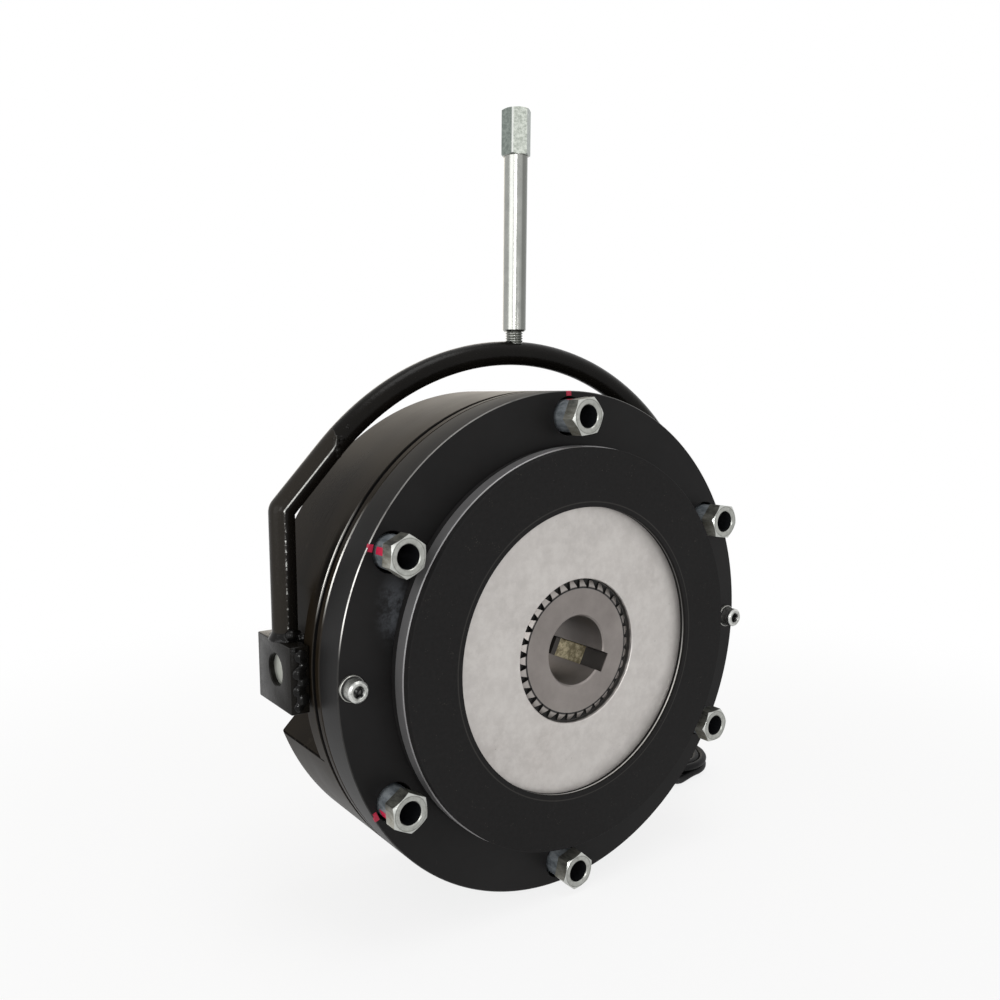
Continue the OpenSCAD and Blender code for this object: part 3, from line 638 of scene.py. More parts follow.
plate = turnOnLathe("armaturePlate", [(bore, front + 0.4), (bore + 0.4, front), (rim - edge, front),
                    (rim, front + edge), (rim, rear - edge), (rim - edge, rear), (bore + 0.4, rear),
                    (bore, rear - 0.4)], 240)
hole = armature["boltHole"]
boltDrill = turnOnLathe("boltDrill", [(0, front - 1), (hole + 1.3, front - 1), (hole, front + 0.3),
                                      (hole, rear - 0.3), (hole + 1.3, rear + 1), (0, rear + 1)], 72)
boltDrills = spread(boltDrill, allPlaces(flange))
screwDrills = spread(drill(armature["screwHole"], front, rear + 2, 0.3, 48), allPlaces(release))
cutWith(plate, *boltDrills, *screwDrills)
smooth(plate, 28)
dress(plate, oxide, "armature", "armature_steel", "armature_plate")
print("armature drilled")


# Rotor, two friction rings on an alloy disc
rotor = {"liningIn": 72, "liningOut": 100.485, "front": (0, 3.75), "carrier": (3.75, 10.75),
         "rear": (10.77, 14.5), "rim": 100.985, "recess": (36.4, 7.35), "boss": (42, 18.75), "inside": 30,
         "spline": (32.1, 36.1, 0.08), "teeth": 34, "module": 2.0, "pressureAngle": 20, "tipRound": 0.25}

inner, outer = rotor["liningIn"], rotor["liningOut"]

lining = Finish("frictionLining")
x, y, z = lining.axes()
radial = lining.radius()
fibres = lining.noise(520, 4, 0.7)
rubbed = lining.noise(18, 3)
flecks = lining.node("ShaderNodeTexVoronoi", {"feature": "F1"}, {"Vector": lining.place(), "Scale": 900.0})
bright = flecks.fade(0.10, 0.22) * lining.noise(160, 2).ramp(0.52, 0.66)
innerWall = radial.fade(inner + 0.04, inner + 0.10) * (y < rotor["front"][1])
# a thin steel strip round the inner wall, brightened into a painted highlight towards the lower right
steelStripAndHighlight = (innerWall * y.ramp(1.5, 1.6) * y.fade(2.2, 2.3) * (1.0 - z.ramp(-34, 16) * 0.86)
             * (x.ramp(-40, 20) * 0.8 + 0.2))
outerStep = radial.ramp(inner + 2.1, inner + 2.3) * radial.fade(inner + 2.7, inner + 2.9) * (y < 1.0)
lining.wear(colour=lining.layers(lining.blend(fibres, (20, 20, 20), (34, 33, 33)),
                                 (bright * 0.4, (92, 88, 80)), (innerWall * 0.8, (24, 23, 22)),
                                 (outerStep * 0.5, (62, 60, 58)), (steelStripAndHighlight, (226, 225, 222))),
            metallic=steelStripAndHighlight * 0.9, specular=0.10, roughness=rubbed * 0.14 + 0.66 - steelStripAndHighlight * 0.4)
lining.relief(fibres, 0.35, 0.15)


def frictionRing(name, start, end):
    return smooth(turnOnLathe(name, [(inner, start + 0.15), (inner + 0.15, start), (outer - 0.25, start),
                                     (outer, start + 0.25), (outer, end - 0.02), (inner, end - 0.02)], 240))


dress(frictionRing("frontLining", *rotor["front"]), lining, "rotor", "friction_lining", "front_lining")
dress(frictionRing("rearLining", *rotor["rear"]), lining, "rotor", "friction_lining", "rear_lining")

start, end = rotor["carrier"]
recessR, recessEnd = rotor["recess"]
bossR, bossEnd = rotor["boss"]

alloy = Finish("carrierAlloy")
x, y = alloy.axes()[:2]
radial = alloy.radius()
clouds = alloy.noise(26, 5, 0.62)
fineGrain = alloy.noise(1500, 3, 0.7)
brushed = alloy.latheMarks(1.5, 0.4)
stain = alloy.noise(9, 4, 0.7).ramp(0.56, 0.80)
mottle = alloy.noise(170, 6, 0.72).ramp(0.34, 0.68)
dots = alloy.noise(520, 2).ramp(0.70, 0.76) * alloy.noise(34, 2).ramp(0.50, 0.62)
nearFront = y.fade(13.5, 15.5)
# painted shade: the spline teeth inside the recess near black and not metallic
splineShade = radial.fade(recessR - 0.3, recessR - 0.1) * nearFront
# painted shade: the back part of the recess's wall dark
wall = radial.fade(recessR + 0.05, recessR + 0.20) * (1.0 - splineShade) * y.ramp(4.9, 5.6) * nearFront
shadedEdge = radial.ramp(62, inner + 0.2) * x.ramp(-10, 50) * (y < start + 0.75)
dullRim = radial.ramp(outer - 0.085, outer + 0.115)
alloy.wear(colour=alloy.layers(alloy.blend(clouds, (166, 161, 158), (200, 196, 192)),
                               (stain * 0.5, (148, 138, 134)), (mottle * 0.45, (206, 203, 199)),
                               (dots * 0.6, (96, 90, 86)), (wall * 0.85, (52, 49, 46)),
                               (shadedEdge * 0.5, (140, 136, 133)), (dullRim * 0.85, (112, 112, 114)),
                               (splineShade, (15, 14, 13))),
           metallic=0.72 - splineShade * 0.70, roughness=clouds * 0.16 + fineGrain * 0.12 + 0.34 + splineShade * 0.25)
alloy.relief(fineGrain * 0.7 + brushed * 0.3, 0.16, 0.12)


def toothHalf(radius, play):  # half the angle of a tooth at this radius
    pitch = rotor["teeth"] * rotor["module"] / 2
    return math.asin((math.pi * rotor["module"] / 4
                      - (radius - pitch) * math.tan(math.radians(rotor["pressureAngle"])) + play) / radius)


def toothedOutline(root, tip, play):
    shoulder = tip - rotor["tipRound"]
    outline = []
    for k in range(rotor["teeth"]):
        for radius, side in ((root, -1), (shoulder, -1), (tip, -0.7), (tip, 0.7), (shoulder, 1), (root, 1)):
            a = math.tau * k / rotor["teeth"] + side * toothHalf(radius, play)
            outline.append((radius * math.cos(a), radius * math.sin(a)))
    return outline


disc, inside = rotor["rim"], rotor["inside"]
carrier = turnOnLathe("rotorCarrier", [(inside, recessEnd), (recessR, recessEnd), (recessR, start + 0.35),
                      (recessR + 0.35, start), (disc - 0.4, start), (disc, start + 0.4), (disc, end - 0.4),
                      (disc - 0.4, end), (bossR, end), (bossR, bossEnd - 0.6), (bossR - 0.6, bossEnd),
                      (inside, bossEnd)], 240)
cutWith(carrier, pushOut("splineCutter", toothedOutline(*rotor["spline"]), 0, bossEnd + 2))
smooth(carrier, 28)
dress(carrier, alloy, "rotor", "carrier_alloy", "rotor_carrier")


# Toothed hub
hub = {"front": 4.95, "long": 40, "tip": 35.6, "root": 31.6, "face": 32.6, "cone": 30, "bore": 17.5,
       "keyWide": 10, "keyTop": 20.8, "keyAngle": -26}

front, end = hub["front"], hub["front"] + hub["long"]
tip, face, bore, keyTop = (hub[key] for key in ("tip", "face", "bore", "keyTop"))
slope = math.tan(math.radians(hub["cone"]))

steel = Finish("hubSteel")
x, y, z = steel.axes()
radial = steel.radius()
turned = steel.latheMarks(2.6, 2.6)
oily = steel.noise(60, 4, 0.65)
speck = steel.noise(420, 4, 0.7).ramp(0.62, 0.80)
intoTeeth = y - front - (radial - face) * slope  # depth behind the hub's coned end
# painted shade: the toothed part behind the coned end near black, as far as about 20 mm in
toothGapShade = (radial > hub["root"] - 0.2) * (intoTeeth > 0.18) * y.fade(18, 24)
# painted highlight: the coned ends of the teeth lighter
teethHighlight = (radial > face) * (intoTeeth < 0.3)
keyTurn = math.radians(hub["keyAngle"])
inward = x * math.cos(keyTurn) + z * math.sin(keyTurn)  # towards the keyway's end wall
nearKey = radial < bore + 5
keyWorn = (inward > keyTop - 0.3) * nearKey * y.within(21.2, 41.5)
# painted shade: the keyway darker, all but the greasy patch
keywayShade = (inward > bore - 0.3) * nearKey * (y > front + 0.55) * (1.0 - keyWorn)
grease = steel.blend(steel.noise(330, 4, 0.7).ramp(0.36, 0.62), (214, 202, 166), (136, 125, 94))
steel.wear(colour=steel.layers(steel.blend(oily, (108, 102, 99), (148, 142, 138)),
                               (speck * 0.4, (84, 78, 74)), (teethHighlight * 0.55, (176, 171, 167)),
                               (keywayShade * 0.75, (46, 43, 40)), (keyWorn * 0.9, grease),
                               (toothGapShade, (15, 14, 13))),
           metallic=0.85 - toothGapShade * 0.80,
           roughness=oily * 0.16 + turned * 0.14 + 0.28 + toothGapShade * 0.25)
steel.relief(turned, 0.22, 0.12)

gear = pushOut("toothedHub", toothedOutline(hub["root"], tip, 0), front, end)
fall = (tip + 1 - face) * slope
trim = turnOnLathe("hubTrim", [(0, front), (face, front), (tip + 1, front + fall), (tip + 1, end - fall),
                               (face, end), (0, end)], 136)
cutWith(gear, trim, operation="INTERSECT")
cutWith(gear, turnOnLathe("boreDrill", [(0, front - 1), (bore + 1.8, front - 1), (bore, front + 0.8),
                                        (bore, end - 0.8), (bore + 1.8, end + 1), (0, end + 1)], 128))
half = hub["keyWide"] / 2
keyCutter = pushOut("keyCutter", [(0, -half), (keyTop - 0.25, -half), (keyTop, -half + 0.25),
                    (keyTop, half - 0.25), (keyTop - 0.25, half), (0, half)], front - 1, end + 1)
cutWith(gear, putAt(keyCutter, aroundAxis(hub["keyAngle"])))
smooth(gear, 28)
dress(gear, steel, "hub", "hub_steel", "hub")
print("rotor and hub cut")


# Hollow sleeve bolts
sleeve = {"acrossFlats": 17, "hexEnd": 7.6, "across": 16, "bore": 11, "end": 54.88, "coneSlope": 0.538,
          "turns": [-22, 22, 4, -4, 13, 27]}

flat, hexEnd, hole = sleeve["acrossFlats"] / 2, sleeve["hexEnd"], sleeve["bore"] / 2

zinc, plated = zincFinish("sleeveZinc", (138, 140, 135), (190, 191, 186), 0.22)
y = zinc.axes()[1]
fromSleeve, aboveSleeve = zinc.fromBolt(**flange)
# painted shade: the bore's inside near black and not metallic
boreShade = (fromSleeve < hole + 0.06) * (y > 0.3)
onShank = (y > hexEnd + 0.02) * (fromSleeve > hole + 0.2)
behindEdge = y - (fromSleeve - (flat - 0.15)) * sleeve["coneSlope"]  # how far behind the hexagon's cone
onFlats = (y < hexEnd + 0.02) * (behindEdge > 0.25) * (fromSleeve > flat - 0.10)
# painted highlight: the hexagon's coned corners lighter
coneHighlight = (fromSleeve > flat - 0.08) * (behindEdge < 0.3)
turnedRing = fromSleeve.within(flat - 0.70, flat - 0.44) * (y < 0.2)
flatMarks = zinc.noise(260, 4, 0.7, where=zinc.stretched((1, 0.35, 1))).ramp(0.30, 0.70)
faceMarks = zinc.noise(420, 4, 0.7).ramp(0.40, 0.72)
# painted light and shade on the hexagon's flats: darker above the bolt's centre, lighter below
flatsLitAndShaded = zinc.blend(aboveSleeve.ramp(-4, 6), zinc.blend(flatMarks, (128, 124, 110), (182, 182, 174)),
                      zinc.blend(flatMarks, (66, 67, 64), (122, 122, 114)))
shankTone = zinc.blend(flatMarks, (86, 92, 97), (146, 152, 156))
zinc.wear(colour=zinc.layers(plated, (faceMarks * 0.45, (112, 112, 106)), (coneHighlight * 0.5, (206, 208, 204)),
                             (turnedRing * 0.6, (84, 84, 80)), (onFlats, flatsLitAndShaded), (onShank, shankTone),
                             (boreShade, (22, 23, 25))),
          metallic=0.95 - boreShade * 0.95 - onShank * 0.6 - onFlats * 0.3, specular=0.2)


def hexPoints(acrossFlats, turn=0):
    return circlePoints(acrossFlats / math.sqrt(3), [60 * k + turn for k in range(6)])


def hexBar(name, acrossFlats, start, end, coneAtEnd):  # along the brake's axis, coned at its start
    flat, corner = acrossFlats / 2, acrossFlats / math.sqrt(3)
    fall = (corner - flat) * math.tan(math.radians(30)) * 1.25
    trim = [(0, start), (flat - 0.15, start), (corner + 0.3, start + fall)]
    trim += [(corner + 0.3, end - fall), (flat - 0.15, end)] if coneAtEnd else [(corner + 0.3, end)]
    return cutWith(pushOut(name, hexPoints(acrossFlats), start, end),
                   turnOnLathe("hexTrim", trim + [(0, end)], 96), operation="INTERSECT")


def sleeveBolt():
    r, end = sleeve["across"] / 2, sleeve["end"]
    head = hexBar("sleeveBolt", sleeve["acrossFlats"], 0, hexEnd, coneAtEnd=False)
    cutWith(head, turnOnLathe("sleeveDrill", [(0, -1), (hole + 1.5, -1), (hole, 0.45), (hole, hexEnd + 1),
                              (0, hexEnd + 1)], 72))
    shank = turnOnLathe("shank", [(hole, hexEnd - 0.01), (r - 0.02, hexEnd - 0.01), (r - 0.02, end - 0.5),
                                  (r - 0.5, end), (hole + 0.3, end), (hole, end - 0.3)], 72)
    return smooth(joinUp([head, shank], "sleeveBolt"), 25)


sleeves = spread(sleeveBolt(), [onCircle(flange, k, turn) for k, turn in enumerate(sleeve["turns"])])
dress(joinUp(sleeves, "sleeveBolts"), zinc, "stator", "zinc_plate", "sleeve_bolts")
print("sleeve bolts turned")


# Release screws and washers
screw = {"head": (10, 6.9, 12.9), "socket": (4.4, 3, 12), "shank": (6, 65.4),
         "washer": (12, 6.4, 12.9, 14.5), "knurls": 40, "knurlDepth": 0.16}

headStart = screw["head"][1]

zinc, plated = zincFinish("screwZinc", (150, 151, 147), (196, 197, 193), 0.22)
y = zinc.axes()[1]
fromScrew = zinc.fromBolt(**release)[0]
# painted shade in the socket, spotted with painted glints
socketShade = (fromScrew < 2.7) * y.within(headStart + 0.3, headStart + 3.6)
# painted highlight: a bright ring round the head's rim
headRimHighlight = fromScrew.within(3.9, 5.0) * (y < headStart + 1.3)
tarnish = zinc.noise(620, 4, 0.7).ramp(0.46, 0.66)
socketShadeAndGlints = zinc.blend(zinc.noise(700, 2).ramp(0.5, 0.6), (24, 24, 24), (120, 120, 118))
zinc.wear(colour=zinc.layers(plated, (headRimHighlight * 0.6, (222, 223, 220)), (tarnish * 0.55, (96, 96, 93)),
                             (socketShade, socketShadeAndGlints)), metallic=0.95 - socketShade * 0.5)

washerZinc, plated = zincFinish("washerZinc", (140, 140, 136), (190, 190, 184), 0.24)
washerShade = washerZinc.fromBolt(**release)[0].within(4.6, 5.7)  # painted shade on the washer round the head
washerZinc.wear(colour=washerZinc.blend(washerShade, plated, (22, 22, 21)), metallic=0.95 - washerShade * 0.9)


def capScrew():
    across, start, end = screw["head"]
    outline = [circlePoints(across / 2 - screw["knurlDepth"] * (k % 2), [180 * k / screw["knurls"]])[0]
               for k in range(screw["knurls"] * 2)]
    head = pushOut("capScrew", outline, start, end)
    r = across / 2
    cutWith(head, turnOnLathe("headTrim", [(0, start), (r - 0.9, start), (r + 0.1, start + 0.9),
                              (r + 0.1, end - 0.2), (r - 0.3, end), (0, end)], 80), operation="INTERSECT")
    r, shankEnd = screw["shank"][0] / 2, screw["shank"][1]
    cutWith(head, turnOnLathe("screwShank", [(0, end - 1), (r, end - 1), (r, shankEnd - 0.8),
                                             (r - 0.7, shankEnd), (0, shankEnd)], 48), operation="UNION")
    key, deep, turn = screw["socket"]
    cutWith(head, pushOut("socketCutter", hexPoints(key, turn), start - 1, start + deep))
    cutWith(head, turnOnLathe("socketMouth", [(0, start - 1), (key / 2 + 1.8, start - 1),
                                              (key / 2, start + 0.8), (0, start + 0.8)], 64))
    return smooth(tidyMesh(head, 0.004), 25)


capScrews = spread(capScrew(), allPlaces(release))
dress(joinUp(capScrews, "releaseScrews"), zinc, "armature", "zinc_plate", "release_screws")

across, hole, start, end = screw["washer"]
r = across / 2
flatWasher = turnOnLathe("flatWasher", [(hole / 2, start), (r - 0.2, start), (r, start + 0.2), (r, end - 0.05),
                                        (r - 0.1, end), (hole / 2, end)], 72)
washers = spread(smooth(flatWasher), allPlaces(release))
dress(joinUp(washers, "releaseWashers"), washerZinc, "armature", "zinc_plate", "release_washers")


# Release yoke, lugs and pins
yoke = {"bar": 12, "plane": 58.48, "arch": 146.2, "archFrom": 43, "bend": 2.5, "bendHeight": 73.7,
        "leg": 131.2, "legFoot": 14}

paint = Finish("blackPaint")
x, y, z = paint.axes()
pits = paint.noise(240, 4, 0.65)
peel = paint.noise(700, 2)
# light flecks: paint chips, and painted sparkle that stands for highlights on the rough paint
chipsAndSparkle = paint.noise(420, 5, 0.72).ramp(0.70, 0.78)
runs = paint.noise(38, 4)
aside = x.size()
lean = math.radians(yoke["archFrom"])
pastBend = z.ramp(yoke["bendHeight"] - 1.2, yoke["bendHeight"] + 1.3)
inFront = y < yoke["plane"]
onLeg = z.ramp(yoke["legFoot"] + 0.2, yoke["legFoot"] + 1.2) * (1.0 - pastBend) * inFront
onSlant = pastBend * aside.ramp(104.5, 108) * inFront
outside = (onLeg * (aside - yoke["leg"])  # towards the outside of the bar
           + onSlant * ((aside - yoke["leg"]) * math.cos(lean) + (z - yoke["bendHeight"]) * math.sin(lean)))
# painted highlight: a bright broken line along the front of the bar's legs and slanted parts
barHighlightLine = (outside - 1.0).size().fade(0.12, 0.50) * (onLeg + onSlant)
glints = barHighlightLine * (onSlant * (paint.noise(160, 3).ramp(0.30, 0.50) * 0.5 + 0.45)
                  + onLeg * paint.noise(520, 4, 0.7).ramp(0.50, 0.62) * 0.7)
# painted light: the outer side of the bar lighter than its inner side
paint.wear(colour=paint.layers(paint.blend(runs, (9, 8, 7), (22, 20, 17)),
                               (outside.ramp(0.4, 1.4), (38, 35, 31)), (chipsAndSparkle * 0.6, (104, 97, 90)),
                               (glints, (186, 186, 182))),
           metallic=glints * 0.85, roughness=pits * 0.18 + 0.16 + glints * 0.1, specular=0.09)
paint.relief(pits * 0.75 + peel * 0.25, 0.45, 0.4)

thickPaint = Finish("thickPaint")  # glossy paint over the weld beads
drips = thickPaint.noise(330, 3, 0.6)
thickPaint.wear(colour=thickPaint.blend(drips, (7, 7, 7), (20, 19, 18)), roughness=drips * 0.14 + 0.12,
                specular=0.16)
thickPaint.relief(drips * 0.6 + thickPaint.noise(900, 2) * 0.4, 0.3, 0.3)


def yokeLine():
    big, leg, bend, a = yoke["arch"], yoke["leg"], yoke["bend"], math.radians(yoke["archFrom"])
    archEnd = Vector((big * math.cos(a), big * math.sin(a)))
    along = Vector((math.sin(a), -math.cos(a)))
    corner = archEnd + along * ((leg - archEnd.x) / along.x)
    centre = Vector((leg - bend, corner.y - bend * math.tan(a / 2)))
    side = [Vector((leg, yoke["legFoot"])), Vector((leg, centre.y - 0.01))]
    for k in range(9):
        t = a * k / 8
        side.append(centre + bend * Vector((math.cos(t), math.sin(t))))
    bendEnd = side[-1]
    side += [bendEnd + (archEnd - bendEnd) * (k / 6) for k in range(1, 6)]
    for k in range(31):
        t = a + (math.pi / 2 - a) * k / 30
        side.append(Vector((big * math.cos(t), big * math.sin(t))))
    line = side + [Vector((-p.x, p.y)) for p in reversed(side[:-1])]
    return [(p.x, yoke["plane"], p.y) for p in line]


pickUp(roundCord("releaseYoke", "POLY", yokeLine(), yoke["bar"] - 0.02, 14))
bpy.ops.object.convert(target="MESH")
arch = smooth(tidyMesh(bpy.context.object), 40)
dress(arch, paint, "yoke", "black_paint", "release_yoke")

lug = {"from": 127.5, "to": 136.5, "front": 41.48, "back": 78.48, "low": -17.5, "high": 14, "corner": 0.8,
       "camFrom": 113.1, "camRadius": 12.4, "throw": 4.36, "pinHole": 15.0, "neckHole": 12.0, "slot": 8.4,
       "pivot": 58.48}


def rightLug():
    start, end, camFrom, pivot = (lug[key] for key in ("from", "to", "camFrom", "pivot"))
    sides = (("from", "to"), ("front", "back"), ("low", "high"))
    clearSelection()
    bpy.ops.mesh.primitive_cube_add(size=1, location=[(lug[a] + lug[b]) / 2 * mm for a, b in sides])
    block = bpy.context.object
    block.scale = [(lug[b] - lug[a]) * mm for a, b in sides]
    settle(block)
    editMode(block, "EDGE")
    bpy.ops.mesh.select_all(action="DESELECT")
    objectMode()
    for sideEdge in block.data.edges:  # only the edges that run across the lug
        first, second = (block.data.vertices[i].co for i in sideEdge.vertices)
        sideEdge.select = abs(first.x - second.x) > (end - start) / 2 * mm
    editMode(block, "EDGE")
    bpy.ops.mesh.bevel(offset=lug["corner"] * mm, segments=5, affect="EDGES")
    objectMode()
    softenEdges(block, 0.5)
    halfTurn = circlePoints(lug["camRadius"], [180 * k / 32 for k in range(33)])
    outline = [(-x, z) for x, z in halfTurn] + [(x, -z - lug["throw"]) for x, z in halfTurn]
    cam = pushOut("camLobe", outline, camFrom, start + 2)
    cutWith(block, softenEdges(putAt(cam, outwards(pivot)), 0.4), operation="UNION")
    neck, pin = lug["neckHole"] / 2, lug["pinHole"] / 2
    pinDrill = turnOnLathe("pinDrill", [(0, camFrom - 1), (neck, camFrom - 1), (neck, start), (pin, start),
                                        (pin, end - 0.5), (pin + 1.5, end + 1), (0, end + 1)], 72)
    cutWith(block, putAt(pinDrill, outwards(pivot)))
    slot = drill(lug["slot"], pivot - 40, pivot + 40, steps=48)
    cutWith(block, putAt(slot, shift(release["circle"], 0, 0)))
    return smooth(tidyMesh(block, 0.004), 30)


rightPlate = rightLug()
rightPlate.name = "rightLug"
leftPlate = smooth(mirrored(rightPlate, "leftLug"), 30)
dress(rightPlate, paint, "yoke", "black_paint", "right_lug")
dress(leftPlate, paint, "yoke", "black_paint", "left_lug")

bareMarks = (240, 4, 0.7)
dressNode("trunnion_pins", plainFinish("bareSteel", (158, 160, 152), (196, 198, 190), bareMarks, bareMarks,
                                       (0.36, 0.2), relief=(bareMarks, 0.3, 0.2), metallic=0.85))


# Weld beads under the paint
weld = {"grid": 0.35, "footRing": (6.0, 8.4, 14.0), "lumps": 22, "lugEdge": 4.6,
        "footDrops": [(-0.2, -6.9, 3.0, 2.7), (6.3, -6.0, 0.6, 2.3), (-3.4, 6.2, 0.8, 1.8)],
        "archSeam": [(4.9, 1.9, 2.4, 2.2), (5.3, 1.1, 0.8, 2.1), (5.2, 0.6, -1.2, 2.1),
                     (4.6, 0.1, -3.0, 1.9), (5.1, 2.7, 0.6, 1.9), (4.8, 5.0, 2.0, 1.7)],
        "frontBead": [(-134.4, 41.3, 12.2, 1.8), (-131.6, 41.2, 9.4, 3.3), (-130.4, 41.3, 5.0, 2.4),
                      (-132.6, 41.1, 1.8, 3.4), (-130.6, 41.2, -2.4, 3.0), (-132.8, 41.2, -6.2, 3.2),
                      (-131.0, 41.2, -10.4, 3.3), (-133.0, 41.3, -13.8, 2.6)]}


def lump(place, size, flat):  # a drop of weld
    clearSelection()
    bpy.ops.mesh.primitive_ico_sphere_add(subdivisions=3, radius=size * mm,
                                          location=[v * mm for v in place])
    drop = bpy.context.object
    drop.scale = (1, flat, 1)
    return settle(drop, "lump")


def weldPair(drops, leftName, rightName, finish):  # the drops melt together, and show again on the right
    bead = finishWith(joinUp(drops, leftName), "REMESH", mode="VOXEL", voxel_size=weld["grid"] * mm)
    finishWith(bead, "SMOOTH", factor=0.6, iterations=7)
    left = smooth(tidyMesh(bead), 60)
    for piece in (left, smooth(mirrored(left, rightName), 60)):
        dress(piece, finish, "yoke", "black_paint", "yoke_welds")


def footWeld():  # the lumpy ring where the bar stands on its lug
    low, wide, foot = weld["footRing"]
    x, y = -yoke["leg"], yoke["plane"]
    ring = turnOnLathe("footWeld", [(low - 0.8, 0), (wide - 0.3, 0), (wide - 0.9, 1.1), (low + 0.6, 2.6),
                                    (low - 0.1, 4.0), (low - 0.8, 4.0)], 64)
    drops = [putAt(ring, upright(x, y, foot))]
    for k in range(weld["lumps"]):
        a = math.tau * k / weld["lumps"]
        out = low + 0.7 + 0.4 * math.sin(2.7 * k)
        up = foot + 1.0 + 0.9 * math.cos(1.9 * k)
        if -out * math.cos(a) > weld["lugEdge"]:
            out = weld["lugEdge"] / -math.cos(a)
        size = 1.25 + 0.35 * math.sin(3.1 * k)
        drops.append(lump((x + out * math.cos(a), y + out * math.sin(a), up), size, 1.0))
    return drops + [lump((x + dx, y + dy, foot + up), size, 1.0) for dx, dy, up, size in weld["footDrops"]]


def archSeam():  # where the slanted bar meets the arch
    drops = []
    for across, along, up, size in weld["archSeam"]:
        a = math.pi - math.radians(yoke["archFrom"] + along)
        r = yoke["arch"] + up
        drops.append(lump((r * math.cos(a), yoke["plane"] - across, r * math.sin(a)), size, 0.6))
    return drops


weldPair(footWeld(), "footWeld", "rightFootWeld", thickPaint)
weldPair(archSeam(), "leftSeam", "rightSeam", paint)
weldPair([lump((x, y, z), size, 0.42) for x, y, z, size in weld["frontBead"]], "leftBead", "rightBead",
         thickPaint)


# Release lever
lever = {"stud": (9, 150.5), "rod": (11.8, 157.0, 242.5), "hex": (13, 242.5, 264.5), "plane": 58.48,
         "pitch": 1.25, "turn": -21.6}

zinc, plated = zincFinish("leverZinc", (132, 134, 130), (172, 173, 168), 0.10)
x, y, z = zinc.axes()
facing = x.maths("ARCTAN2", y - lever["plane"], x)  # -180 to 180 degrees round the lever
firstCorner, nextCorner = (math.radians(lever["turn"] + corner) for corner in (-120, -60))
onCap = z > lever["hex"][1] + 0.1
# painted light: one flat of the cap lit and the rest shaded, a painted highlight line at one corner, and
# painted shade down one side of the rod
litFlat = onCap * facing.within(firstCorner, nextCorner)
capHighlightLine = (facing - firstCorner).size().fade(0.03, 0.09) * onCap
shadedFlat = onCap * (1.0 - litFlat)
shadedRod = (1.0 - onCap) * facing.ramp(math.radians(-98), math.radians(-88)) * facing.fade(0.5, 1.0)
crystal = zinc.noise(640, 4, 0.75).ramp(0.36, 0.64)
zinc.wear(colour=zinc.layers(plated, (shadedFlat, zinc.blend(crystal, (112, 120, 115), (142, 150, 144))),
                             (litFlat, zinc.blend(crystal, (168, 174, 165), (214, 219, 210))),
                             (capHighlightLine * 0.8, (240, 242, 238)), (shadedRod * 0.75, (104, 106, 102))))

r, start, end = lever["rod"][0] / 2, lever["rod"][1], lever["rod"][2] + 0.2
rod = turnOnLathe("leverRod", [(0, start), (r - 0.9, start), (r, start + 0.9), (r, end), (0, end)], 72)
r, at, pitch = lever["stud"][0] / 2, lever["stud"][1], lever["pitch"]
thread = [(0, at)]
while at + pitch < start + 2:
    thread += [(r - 0.75, at), (r - 0.03, at + pitch * 0.45), (r - 0.03, at + pitch * 0.58)]
    at += pitch
stud = turnOnLathe("leverStud", thread + [(r - 0.75, at), (0, at)], 48)
cap = hexBar("leverCap", *lever["hex"], coneAtEnd=True)
standing = upright(0, lever["plane"], 0, lever["turn"])
handle = joinUp([smooth(putAt(piece, standing), 25) for piece in (rod, stud, cap)], "releaseLever")
dress(handle, zinc, "yoke", "zinc_plate", "release_lever")
print("release gear made")


# Red lacquer across three sleeves and the plate
lacquer = {"bolts": [1, 2, 3], "turns": [-2, -18, 5], "wides": [3.1, 3.4, 4.4], "thick": 0.07}

front, hole, rim = armature["front"], armature["boltHole"], armature["radius"]

red = Finish("redLacquer")
onPlate = red.axes()[1].ramp(front - 0.3, front - 0.1)
red.wear(colour=red.blend(red.noise(500, 3) * 0.6 + onPlate * 0.35, (206, 44, 78), (118, 20, 42)),
         roughness=0.35, specular=0.3)
red.relief(red.noise(1600), 0.3, 0.1)


def plateStroke(k, turn, wide):  # over the armature's face, from the sleeve's hole to the rim
    circle = flange["circle"]
    reach = math.sqrt(rim ** 2 - (circle * math.sin(math.radians(turn))) ** 2)
    far = reach - circle * math.cos(math.radians(turn))
    outline = [(hole + 0.04, 0.9), (hole + 0.04, 0.3), (hole + 0.36, -0.06), (far - 0.54, -0.06),
               (far - 0.02, 0.46), (far - 0.02, 0.75), (far - 0.14, 0.75), (far - 0.7, 0.12),
               (hole + 0.5, 0.12), (hole + 0.2, 0.5), (hole + 0.2, 0.9)]
    stroke = drawLine("plateStroke", [(x * mm, (front + y) * mm, -wide / 2 * mm) for x, y in outline])
    return spread(fillAndPush(stroke, (0, 0, wide)), [onCircle(flange, k, turn)])


def shankStroke(k, turn, wide):  # along the sleeve, from the plate to the hexagon
    r = sleeve["across"] / 2
    half = math.degrees(wide / 2 / r)
    turns = [half * (j / 5 - 1) for j in range(11)]
    outline = circlePoints(r + lacquer["thick"], turns) + circlePoints(r - 0.1, reversed(turns))
    return spread(pushOut("shankStroke", outline, hexEnd, front - 0.3), [onCircle(flange, k, turn)])


plateStrokes, shankStrokes = [], []
for k, turn, wide in zip(lacquer["bolts"], lacquer["turns"], lacquer["wides"]):
    plateStrokes += plateStroke(k, turn * 0.85, wide)
    shankStrokes += shankStroke(k, turn, wide)
dress(joinUp(plateStrokes, "plateLacquer"), red, "armature", "armature_steel")
dress(joinUp(shankStrokes, "sleeveLacquer"), red, "stator", "zinc_plate")


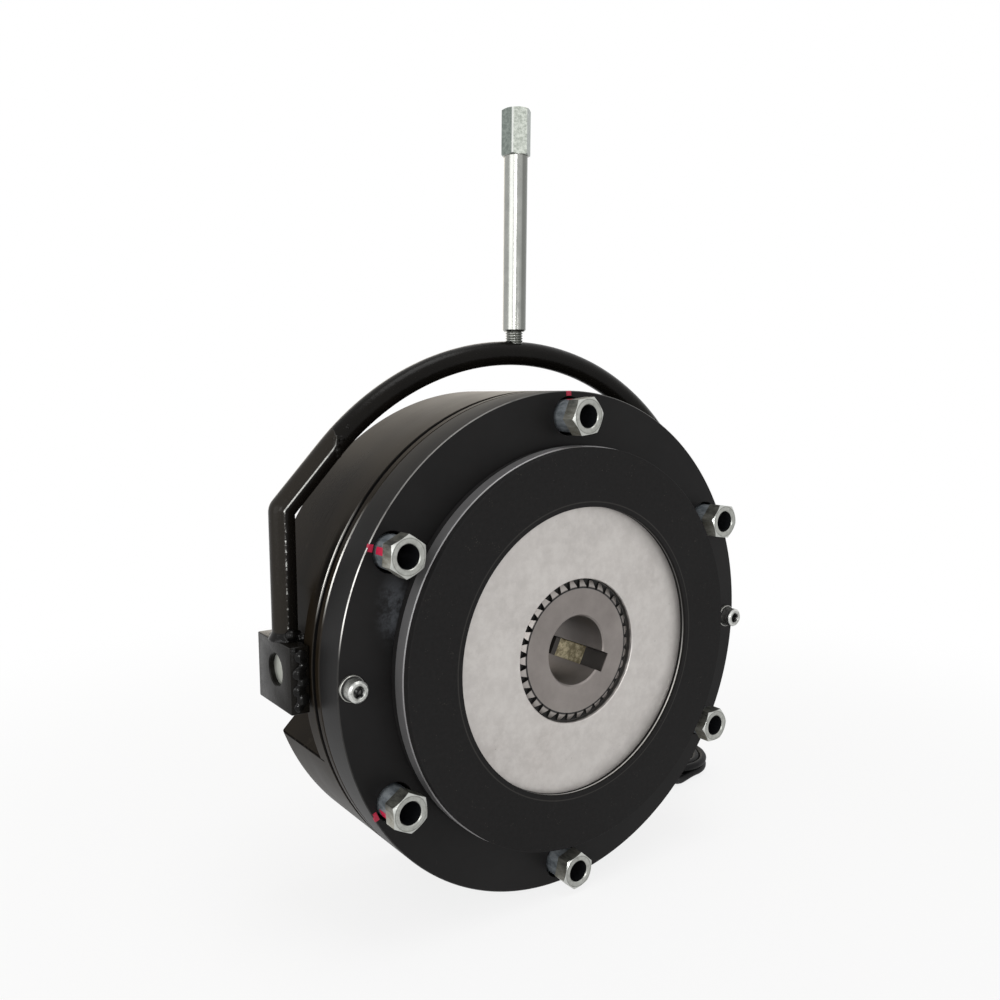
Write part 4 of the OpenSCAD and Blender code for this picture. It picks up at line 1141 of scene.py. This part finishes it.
# Floor, backdrop and lamps, in metres but for the fade, which is in mm
studio = {"floor": -0.1271, "floorSize": 30, "pale": 0.86, "fade": (220, 700), "daylight": 0.40,
          "warm": {"backPanel": (1.0, 0.86, 0.66)},
          "lamps": [("keyPanel", (-1.15, -1.45, 0.55), (0, 0, 0.02), 0.55, 9),
                    ("frontPanel", (-0.12, -1.8, 0.0), (0, 0, 0.05), 0.12, 4),
                    ("leftPanel", (-1.75, -0.35, 0.42), (0, 0, 0.0), 1.3, 12),
                    ("backPanel", (0.6, 1.8, 0.55), (0, 0, 0.05), 1.5, 6),
                    ("topPanel", (0.1, -0.3, 2.0), (0, 0, 0.0), 1.0, 13)]}

clearSelection()
bpy.ops.mesh.primitive_plane_add(size=studio["floorSize"], location=(0, 0, studio["floor"]))
floor = bpy.context.object
floor.name = "studioFloor"
settle(floor)
pale = Finish("studioFloor")
pale.wear(colour=(studio["pale"],) * 3 + (1,), roughness=0.8, specular=0.1)
x, y = pale.axes()[:2]
away = ((x * x + y * y) ** 0.5).ramp(*studio["fade"])  # pure white away from the brake's shadow
glow = pale.seenBy("Is Camera Ray", "Is Glossy Ray") * (away * 0.18 + 0.82)
mixed = pale.node("ShaderNodeMixShader", {}, {0: glow, 1: Wire(pale, pale.shader.outputs[0]),
                                              2: pale.node("ShaderNodeEmission")})
pale.feed(pale.tree.nodes["Material Output"].inputs["Surface"], mixed)
floor.data.materials.append(pale.material)

world = bpy.data.worlds.new("studioWorld")
bpy.context.scene.world = world
sky = Finish("studioWorld", world)
background = sky.tree.nodes["Background"]
seen = sky.seenBy("Is Camera Ray", "Is Transmission Ray", "Is Glossy Ray")
sky.feed(background.inputs["Color"], (1, 1, 1, 1))
sky.feed(background.inputs["Strength"], sky.node("ShaderNodeMapRange", {}, {
    "Value": seen, "To Min": studio["daylight"], "To Max": 1.0}))

for name, place, target, size, power in studio["lamps"]:
    clearSelection()
    bpy.ops.object.light_add(type="AREA", location=place)
    lamp = bpy.context.object
    lamp.name = name
    lamp.data.size = size
    lamp.data.energy = power
    lamp.data.color = studio["warm"].get(name, (1.0, 1.0, 1.0))
    aim(lamp, place, target)
print("studio lit")
